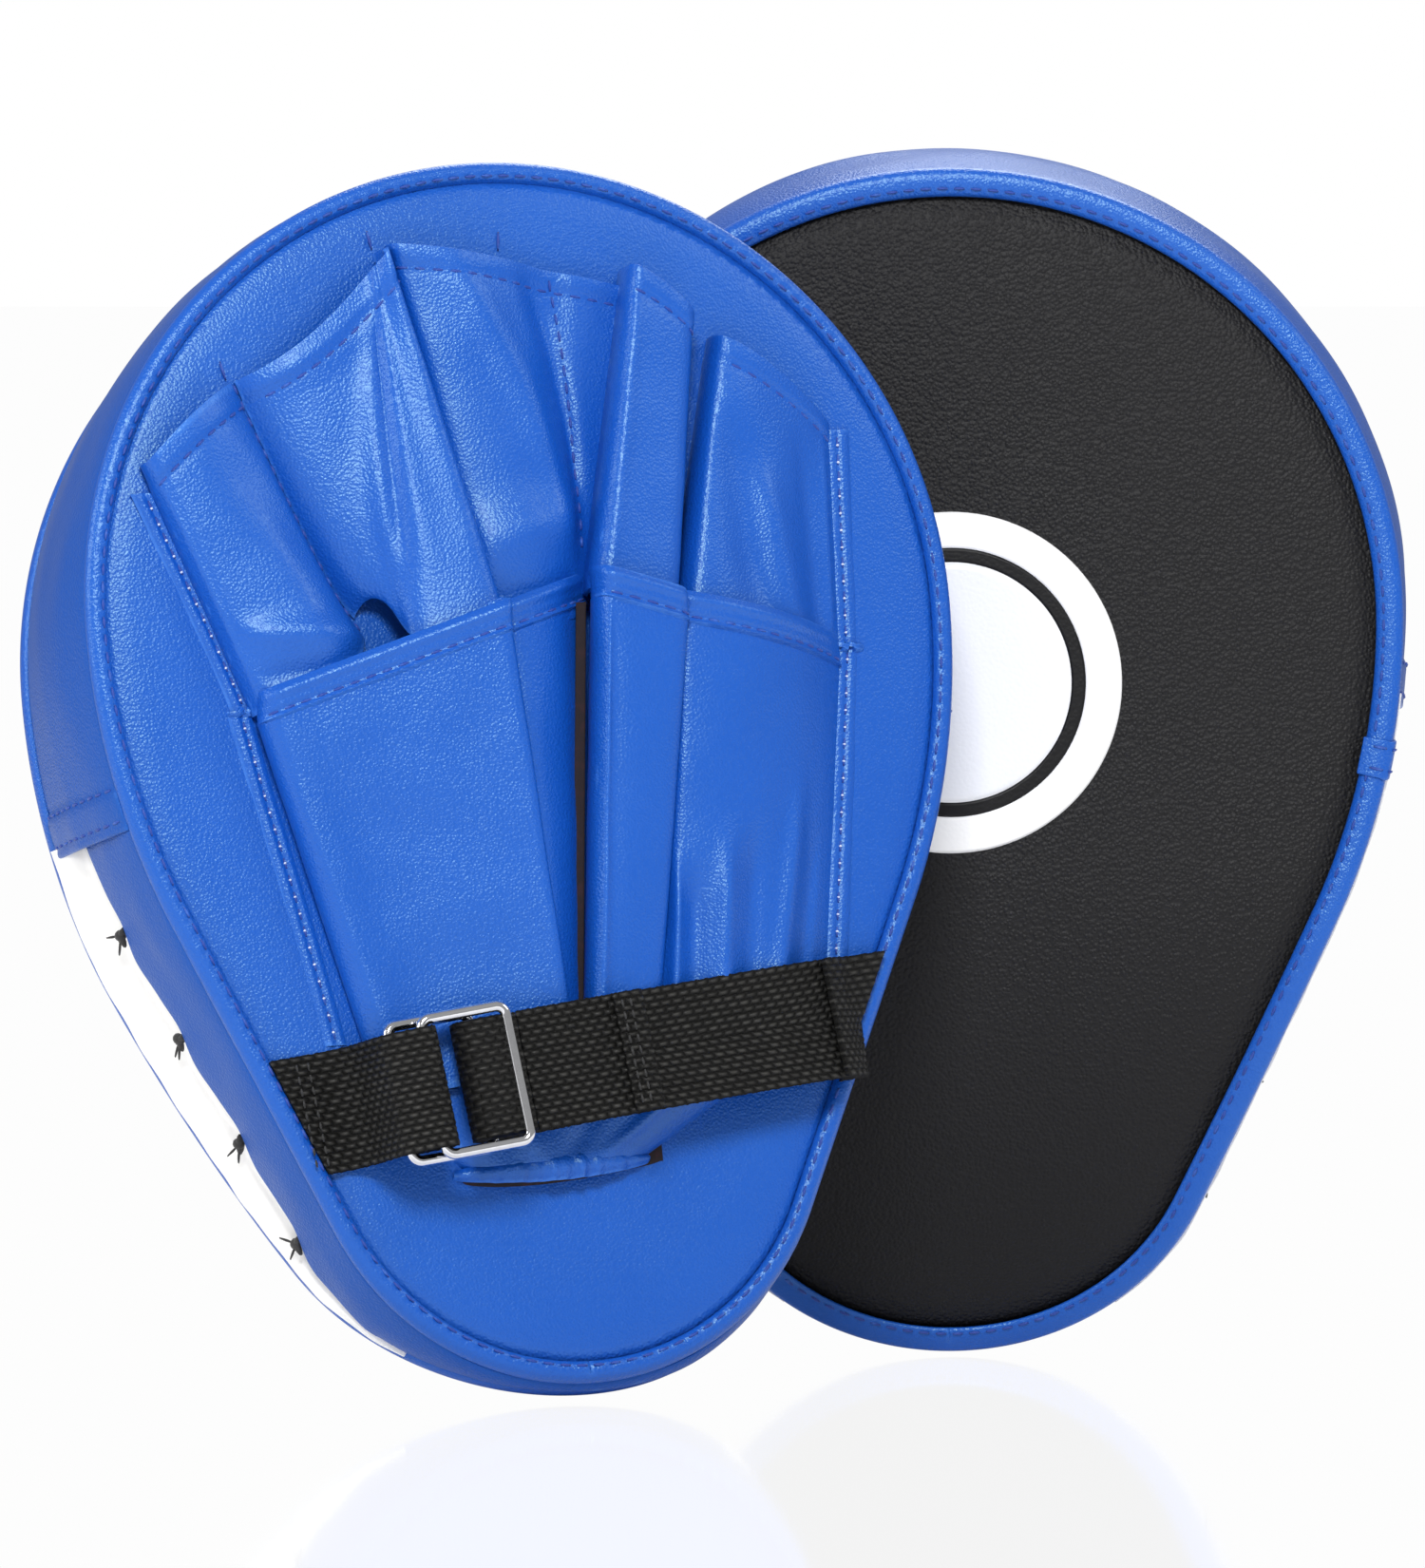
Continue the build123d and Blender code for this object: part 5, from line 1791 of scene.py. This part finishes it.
@dataclass
class HandPocket:
    """The stalls, covers, band, wrist mouth and welts of the hand pocket.

    Attributes:
        mouth_left: Left end of the mouth's hem, x and z.
        mouth_right: Right end of the hem.
        welt_width: Width of the welts.
    """

    mouth_left: Pair = (-26.0, 41.6)
    mouth_right: Pair = (16.5, 43.4)
    welt_width: float = 4.4

    def build(self) -> None:
        """Makes every piece of the pocket and all its thread."""
        blue, white = bmesh.new(), bmesh.new()
        for panel in (*STALLS, *COVERS, *BANDS, *WRIST):
            panel.build()
            panel.sew(blue, white)
        self.raw_edges()
        self.wrist_mouth()
        self.welts(blue, white)
        self.loose_ends(blue)
        Make("pocket_thread", BLUE_THREAD).place(blue)
        # Pale thread dots: painted glint on the blue stitches.
        Make("pocket_white_thread", THREAD_GLINT).place(white)

    def raw_edges(self) -> None:
        """Dark sheets: painted shade beside the ring cover and between the stalls, and a strip under the
        thumb cover's fold that is partly its dark raw edge, partly painted shade.
        """
        thumb, ring = COVERS[0], COVERS[2]

        def edge_and_shade_under_fold(a: float, b: float) -> Vector:
            """A point of the dark strip under the thumb cover's fold, partly its raw edge, partly painted
            shade.

            Args:
                a: Place across.
                b: Place along.

            Returns:
                The point.
            """
            return thumb.place(1.0, b) + Vector((mix(-1.2, 4.5, a) * mix(0.72, 1.0, b), 0.6 + 0.9 * a, 0.0))

        def shade_beside_ring(a: float, b: float) -> Vector:
            """A point of the dark strip of painted shade beside the ring cover.

            Args:
                a: Place across.
                b: Place along.

            Returns:
                The point.
            """
            left = ring.place(0.3, b)
            depth = mix(-5.4, -9.0, b)
            return Vector((left.x - mix(2.6, -0.6, a) * mix(0.7, 0.62, b), depth - 0.5 * a, left.z))

        def shade_between_stalls(a: float, b: float) -> Vector:
            """A point of the dark patch of painted shade between the stalls.

            Args:
                a: Place across.
                b: Place along.

            Returns:
                The point.
            """
            return Vector((mix(-43.0, -24.0, a), -0.7, mix(144.0, 163.0, b)))

        whole = grid_sheet(4, 60, edge_and_shade_under_fold, off_back)
        join_into(whole, grid_sheet(6, 60, shade_beside_ring, off_back))
        join_into(whole, grid_sheet(6, 6, shade_between_stalls, off_back))
        # Painted shade: dark sheets beside the ring cover and between the stalls; the strip under the thumb
        # cover's fold is partly its raw edge, partly painted shade.
        Make("cover_raw_edges", LINING_AND_SHADE, skin=0.5).place(whole)

    def on_hem(self, a: float, b: float) -> Vector:
        """A point of the gathered hem.

        Args:
            a: Place across.
            b: Place along.

        Returns:
            The point.
        """
        x, z = mix_pair(self.mouth_left, self.mouth_right, a)
        hump = math.sin(math.pi * a) ** 0.7
        gather = 0.5 * math.sin(a * 46 + 2.2 * math.sin(a * 9)) + 0.3 * math.sin(a * 83 + 1.0)
        roll = math.sin(math.pi * b)
        height = 0.6 + 5.6 * hump * mix(0.86, 1.0, b) + 1.1 * roll + gather * hump * mix(0.9, 0.3, b)
        return Vector((x, -height, z - 2.4 * hump + 5.2 * b * (0.35 + 0.65 * hump)))

    def wrist_mouth(self) -> None:
        """The gathered hem of the mouth and the dark lining behind it."""
        bm = grid_sheet(120, 12, self.on_hem, off_back)
        Make("wrist_hem", BLUE, skin=1.5, round_over=0.5, lining=LINING_AND_SHADE).place(bm)

        def on_lining(a: float, b: float) -> Vector:
            """A point of the lining.

            Args:
                a: Place across.
                b: Place along.

            Returns:
                The point.
            """
            x, z = mix_pair((-24.0, 41.0), (19.5, 43.6), a)
            hump = math.sin(math.pi * min(a * 1.02, 1.0)) ** 0.6
            rise = z - 2.6 * hump * (1 - a * 0.45) + 6.5 * b * hump + 5.5 * b * ease(a, 0.86, 1.0)
            return Vector((x, -0.9 - 1.6 * hump * b, rise))

        lining = grid_sheet(60, 8, on_lining, off_back)
        Make("wrist_mouth_lining", LINING_AND_SHADE, "black_webbing", skin=0.7).place(lining)

    def welts(self, blue: BMesh, white: BMesh) -> None:
        """The stitched strips beside the cover and the outer stalls, with pale dots on their stitches as
        painted glint.

        Args:
            blue: Mesh of the blue thread.
            white: Mesh of the pale thread, a painted glint.
        """
        whole = bmesh.new()
        lines = (
            (-1, ((-46.9, 70.0), (-53.0, 100.0), (-60.9, 136.0), (-61.6, 142.2), (-77.9, 184.0))),
            (1, ((58.2, 76.0), (60.9, 96.0), (67.4, 144.0), (67.7, 150.4), (69.7, 192.5))),
        )
        for side, line in lines:
            def place(a: float, b: float, side: int = side, line: tuple = line) -> Vector:
                """A point of a welt.

                Args:
                    a: Place across.
                    b: Place along.
                    side: 1 on the little-finger side, -1 on the thumb side.
                    line: The welt's inner edge.

                Returns:
                    The point.
                """
                x, z = smooth_through(line, b)
                out = side * mix(-0.8, self.welt_width, a)
                rise = 0.4 + 1.25 * math.sin(math.pi * min(1.0, 0.12 + 0.86 * a)) ** 0.6
                rise -= 0.5 * math.exp(-((a - 0.45) / 0.12) ** 2)
                return Vector((x + out, -rise - 0.2 * ripple(x, z, 9, side), z))

            join_into(whole, grid_sheet(14, 110, place, off_back))
            sew_on(blue, place, (0.45, 0.01), (0.45, 0.99), Thread(), OFF_THE_BACK)
            # Painted glint: pale dots over the middle of each blue stitch.
            sew_on(white, place, (0.45, 0.015), (0.45, 0.985), Thread(length=0.7, pitch=3.5, radius=0.36),
                   OFF_THE_BACK)
        Make("cover_side_welts", BLUE, skin=1.0, round_over=0.35).place(whole)

    def loose_ends(self, blue: BMesh) -> None:
        """Thread ends that run past the hems on to the back.

        Args:
            blue: Mesh of the blue thread.
        """
        thread = Thread(length=3.6, pitch=4.0, radius=0.32)
        for start, lean in (((-60.4, 208.6), -0.25), ((-26.6, 234.6), -0.2), ((1.2, 233.6), 0.1)):
            centre = Vector((start[0], -0.9, start[1]))
            along = Vector((math.sin(lean), 0.0, math.cos(lean)))
            thread.stitch(blue, centre, along, OFF_THE_BACK, 4.6)


# -------- webbing
@dataclass(frozen=True)
class Ribbon:
    """A run of woven webbing in the strap's own frame: along it, up off the back, and across it.

    Attributes:
        name: Name of the piece.
        route: Corners of its middle line, each the distance along the strap and the height.
        rounding: Radius of the bends at the corners.
        width: Width of the webbing.
        thickness: Thickness of the webbing.
        cut_at_start: True where its start is cut along the mitt's seam.
        body: Body that it rides on.
        columns: Faces across.
        step: Length of a face along it.
    """

    name: str
    route: tuple[Pair, ...]
    rounding: float
    width: float = 24.5
    thickness: float = 1.5
    cut_at_start: bool = False
    body: str = "mitt"
    columns: int = 60
    step: float = 0.55

    def at(self, along: float, up: float, side: float) -> Vector:
        """The mitt's point for a place along, up and across the strap.

        Args:
            along: Distance along the strap.
            up: Height over the back.
            side: Distance from the strap's middle line.

        Returns:
            The point.
        """
        turn = math.radians(STRAP_SLOPE)
        x = STRAP_START[0] + along * math.cos(turn) - side * math.sin(turn)
        z = STRAP_START[1] + along * math.sin(turn) + side * math.cos(turn)
        return Vector((x, -up, z))

    def seam_reach(self, side: float) -> float:
        """How far along the strap the mitt's seam lies, for a line at that side of the strap's middle.

        Args:
            side: Distance of the line from the strap's middle.

        Returns:
            The distance to the seam.
        """
        right = self.route[0][0] > self.route[1][0]
        reach = self.route[0][0]
        for _ in range(8):
            point = self.at(reach, 0, side)
            seam = (BODY.half_width(point.z) - 3.6) * (1 if right else -1)
            reach += (seam - point.x) * 0.95
        return reach

    @lru_cache(maxsize=None)
    def line(self, side: float) -> tuple[tuple[Pair, ...], tuple[float, ...]]:
        """The rounded middle line at that side, and the length up to each of its points.

        Args:
            side: Distance from the strap's middle.

        Returns:
            The points and the lengths.
        """
        corners = list(self.route)
        if self.cut_at_start:
            corners[0] = (self.seam_reach(side), corners[0][1])
        points = [corners[0]]
        for before, corner, after in zip(corners, corners[1:], corners[2:]):
            start, end = Vector(before) - Vector(corner), Vector(after) - Vector(corner)
            reach = min(self.rounding, start.length * 0.48, end.length * 0.48)
            first = Vector(corner) + start.normalized() * reach
            last = Vector(corner) + end.normalized() * reach
            for step in range(9):
                t = step / 8
                spot = first * (1 - t) ** 2 + Vector(corner) * 2 * t * (1 - t) + last * t * t
                points.append((spot.x, spot.y))
        points.append(corners[-1])
        lengths = [0.0]
        for first, second in zip(points, points[1:]):
            lengths.append(lengths[-1] + math.dist(first, second))
        return tuple(points), tuple(lengths)

    def place(self, a: float, b: float) -> Vector:
        """A point of the webbing's outer side, with its weave.

        Args:
            a: Place across the width.
            b: Place along the route.

        Returns:
            The point.
        """
        side = round((a - 0.5) * self.width, 4)
        points, lengths = self.line(side)
        run = b * lengths[-1]
        index = 0
        low, high = 0, len(lengths) - 2
        while low <= high:
            index = (low + high) // 2
            if lengths[index + 1] < run:
                low = index + 1
            elif lengths[index] > run:
                high = index - 1
            else:
                break
        span = max(lengths[index + 1] - lengths[index], 1e-6)
        share = min(1.0, max(0.0, (run - lengths[index]) / span))
        along, up = mix_pair(points[index], points[index + 1], share)
        first, second = points[max(index - 1, 0)], points[min(index + 2, len(points) - 1)]
        direction = Vector((second[0] - first[0], second[1] - first[1])).normalized()
        sign = 1.0 if self.outer_is_left() else -1.0
        lift = self.weave(run, side) * sign
        edge = 0.12 * math.sin(run * 1.7) + 0.08 * math.sin(run * 4.1)
        side_out = side + math.copysign(edge, side) * ease(abs(side), self.width / 2 - 0.8, self.width / 2)
        return self.at(along - direction.y * lift, up + direction.x * lift, side_out)

    def outer_is_left(self) -> bool:
        """True where the outer side is to the left of the route's direction."""
        return self.route[0][0] < self.route[1][0]

    def weave(self, run: float, side: float) -> float:
        """Height of the weave: short grains in rows, each row set half a grain on.

        Args:
            run: Distance along the webbing.
            side: Distance from its middle line.

        Returns:
            The height.
        """
        row = (side + self.width / 2) / WEAVE_ROW
        number = math.floor(row)
        across = math.sin(math.pi * (row - number)) ** 0.7
        grain = abs(math.sin(math.pi * (run / WEAVE_GRAIN + 0.5 * (number % 2)))) ** 0.8
        return 0.2 * across * (0.3 + 0.7 * grain)

    def build(self) -> None:
        """Makes the webbing."""
        length = self.line(0.0)[1][-1]
        lines = int(length / self.step)
        facing_up = self.at(0, 1, 0) - self.at(0, 0, 0)
        bm = grid_sheet(self.columns, lines, self.place, lambda _: facing_up)
        layer = bm.loops.layers.uv["sheet"]
        for face in bm.faces:
            for loop in face.loops:
                loop[layer].uv = (loop[layer].uv.x * self.width, loop[layer].uv.y * length)
        Make(self.name, WEBBING, "black_webbing", skin=self.thickness, round_over=0.25,
             body=self.body).place(bm)


STRAP_RIBBONS = (
    Ribbon("wrist_strap",
           ((128.0, 1.4), (120.9, 1.4), (113.0, 9.6), (97.0, 13.0), (68.0, 15.2), (54.5, 15.2), (41.0, 12.0),
            (31.6, 11.4), (30.0, 12.3), (29.4, 14.2), (30.0, 16.2), (31.6, 17.2), (40.6, 17.6)),
           rounding=5.0, cut_at_start=True),
    Ribbon("strap_anchor_loop",
           ((-7.0, 1.4), (6.0, 1.5), (9.6, 5.0), (11.4, 12.4), (12.4, 16.0), (15.0, 17.6), (20.0, 20.0),
            (22.8, 19.6), (24.0, 17.2), (22.4, 14.8), (16.6, 12.0)),
           rounding=2.6, cut_at_start=True),
    Ribbon("strap_tail",
           ((41.2, 17.7), (46.0, 17.75), (56.0, 17.6), (68.0, 17.5)), rounding=3.0, body="strap_tail"),
)


@dataclass
class WristStrap:
    """The webbing, its sewing and the chromed rings."""

    def build(self) -> None:
        """Makes the ribbons, the folded end of the tail and the finish of the rings."""
        for ribbon in STRAP_RIBBONS:
            ribbon.build()
        fold = Ribbon("strap_tail_hem", ((62.0, 19.0), (64.0, 19.3), (67.8, 19.2), (68.6, 18.4)),
                      rounding=1.2, body="strap_tail", thickness=1.3)
        fold.build()
        flap = Ribbon("strap_end_flap", ((126.0, 3.1), (118.4, 5.6), (114.6, 9.9), (111.6, 11.9)),
                      rounding=2.0, cut_at_start=True, thickness=1.2)
        flap.build()
        self.sewing()
        self.rings()

    def sewing(self) -> None:
        """Black stitches across the tail's hem and the sewn ends."""
        tail, ends = bmesh.new(), bmesh.new()
        for along in (63.4, 65.2):
            self.row(tail, STRAP_RIBBONS[2], along, 19.9)
        for along in (-1.5, 1.0):
            self.row(ends, STRAP_RIBBONS[1], along, 2.2)
        Make("tail_thread", BLACK_THREAD, "black_webbing", body="strap_tail").place(tail)
        Make("strap_thread", BLACK_THREAD, "black_webbing").place(ends)

    @staticmethod
    def row(bm: BMesh, ribbon: Ribbon, along: float, up: float) -> None:
        """One row of stitches across the webbing."""
        points = [ribbon.at(along, up, side) for side in (-11.0, -5.0, 0.0, 5.0, 11.0)]
        Thread(length=1.7, pitch=2.3, radius=0.3).sew(bm, points, [OFF_THE_BACK] * len(points))

    @staticmethod
    def rings() -> None:
        """Gives the two wire rings of each mitt their polished finish."""
        for hand in Hand:
            for ring in ("inner_ring", "outer_ring"):
                node = frame["nodes"][f"{hand.value}_{ring}"]
                if not node.material_slots:
                    node.data.materials.append(None)
                for slot in node.material_slots:
                    slot.material = CHROME.material()
                LOG.info("%s: polished wire", node.name)


# -------- studio
@dataclass(frozen=True)
class Studio:
    """The floor, the soft lights and the camera.

    Attributes:
        elevation: Height of the camera above level, in degrees.
        distance: Distance of the camera from what it looks at.
        aim: The point that it looks at.
        lens: Focal length in millimetres.
        surround: Strength of the surrounding light.
        floor_glow: Brightness of the floor.
        floor_polish: Share of the floor's reflection.
    """

    elevation: float = 2.6
    distance: float = 3.6
    aim: tuple[float, float, float] = (0.0297, 0.0, 0.0115)
    lens: float = 407.0
    surround: float = 0.36
    floor_glow: float = 1.28
    floor_polish: float = 0.3

    def build(self) -> None:
        """Makes the stage."""
        self.floor()
        self.lights()
        self.camera()
        scene = bpy.context.scene
        scene.view_settings.view_transform = "Standard"

    def floor(self) -> None:
        """A pale floor with a faint reflection."""
        low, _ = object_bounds()
        bm = bmesh.new()
        bmesh.ops.create_grid(bm, x_segments=8, y_segments=8, size=9.0)
        bmesh.ops.translate(bm, verts=bm.verts, vec=(0.0, 3.0, low.z - 0.0008))
        mesh = bpy.data.meshes.new("studio_floor")
        bm.to_mesh(mesh)
        bm.free()
        floor = bpy.data.objects.new("studio_floor", mesh)
        bpy.context.scene.collection.objects.link(floor)
        material = bpy.data.materials.new("pale_floor")
        material.use_nodes = True
        tree = material.node_tree
        plain = tree.nodes["Principled BSDF"]
        plain.inputs["Base Color"].default_value = (0.9, 0.9, 0.91, 1.0)
        plain.inputs["Roughness"].default_value = 1.0
        plain.inputs["Specular IOR Level"].default_value = 0.0
        glow = add_node(tree, "Emission", {"Strength": self.floor_glow})
        gloss = add_node(tree, "BsdfGlossy", {"Roughness": 0.06})
        polish = add_node(tree, "MixShader", {0: self.floor_polish, 1: glow.outputs[0], 2: gloss.outputs[0]})
        self.show_to_camera(tree, plain.outputs[0], polish.outputs[0], "Material Output")
        mesh.materials.append(material)
        floor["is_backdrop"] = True

    @staticmethod
    def show_to_camera(tree: NodeTree, lit: NodeSocket, seen: NodeSocket,
                       output: str) -> None:
        """Shows one shader to the camera and another to the light.

        Args:
            tree: The tree of the backdrop.
            lit: Shader that lights the mitts.
            seen: Shader that the camera sees.
            output: Name of the output node.
        """
        ray = add_node(tree, "LightPath", {})
        either = add_node(tree, "MixShader", {0: ray.outputs["Is Camera Ray"], 1: lit, 2: seen})
        tree.links.new(either.outputs[0], tree.nodes[output].inputs["Surface"])

    def lights(self) -> None:
        """Soft surrounding light, with the key, side, edge and top lamps."""
        world = bpy.data.worlds.new("studio_light")
        bpy.context.scene.world = world
        world.use_nodes = True
        tree = world.node_tree
        around = tree.nodes["Background"]
        around.inputs["Color"].default_value = (1.0, 1.0, 1.0, 1.0)
        around.inputs["Strength"].default_value = self.surround
        white = add_node(tree, "Background", {"Color": (1.0, 1.0, 1.0, 1.0)})
        self.show_to_camera(tree, around.outputs[0], white.outputs[0], "World Output")
        self.lamp("key", (0.0, -1.45, 1.05), 0.45, 26.0)
        self.lamp("side", (-1.4, -0.45, 0.55), 0.6, 8.5)
        self.lamp("edge", (1.25, -0.35, 1.05), 0.5, 5.0)
        self.lamp("top", (0.2, 0.85, 0.95), 0.7, 8.5)

    @staticmethod
    def lamp(name: str, place: tuple[float, float, float], size: float, power: float) -> None:
        """One square soft light that points at the mitts.

        Args:
            name: Name of the lamp.
            place: Where it hangs.
            size: Length of its side.
            power: Its power in watts.
        """
        light = bpy.data.lights.new(name, "AREA")
        light.size = size
        light.energy = power
        lamp = bpy.data.objects.new(name, light)
        lamp.location = place
        lamp.rotation_mode = "QUATERNION"
        lamp.rotation_quaternion = (Vector((0.03, 0.03, 0.0)) - Vector(place)).to_track_quat("-Z", "Y")
        bpy.context.scene.collection.objects.link(lamp)

    def camera(self) -> None:
        """The long-lens camera, a little above the mitts."""
        data = bpy.data.cameras.new("camera")
        data.lens = self.lens
        data.clip_start, data.clip_end = 0.05, 60.0
        camera = bpy.data.objects.new("camera", data)
        tilt = math.radians(self.elevation)
        back = Vector((0.0, -math.cos(tilt), math.sin(tilt)))
        camera.location = Vector(self.aim) + back * self.distance
        camera.rotation_mode = "QUATERNION"
        camera.rotation_quaternion = (-back).to_track_quat("-Z", "Y")
        bpy.context.scene.collection.objects.link(camera)
        bpy.context.scene.camera = camera


def main() -> None:
    """Builds the mitts and the studio in order."""
    logging.basicConfig(level=logging.INFO, format="%(name)s %(message)s")
    for assembly in (BodySkins(), TARGET, HandPocket(), WristStrap()):
        assembly.build()
    Studio().build()


if __name__ == "__main__":
    main()
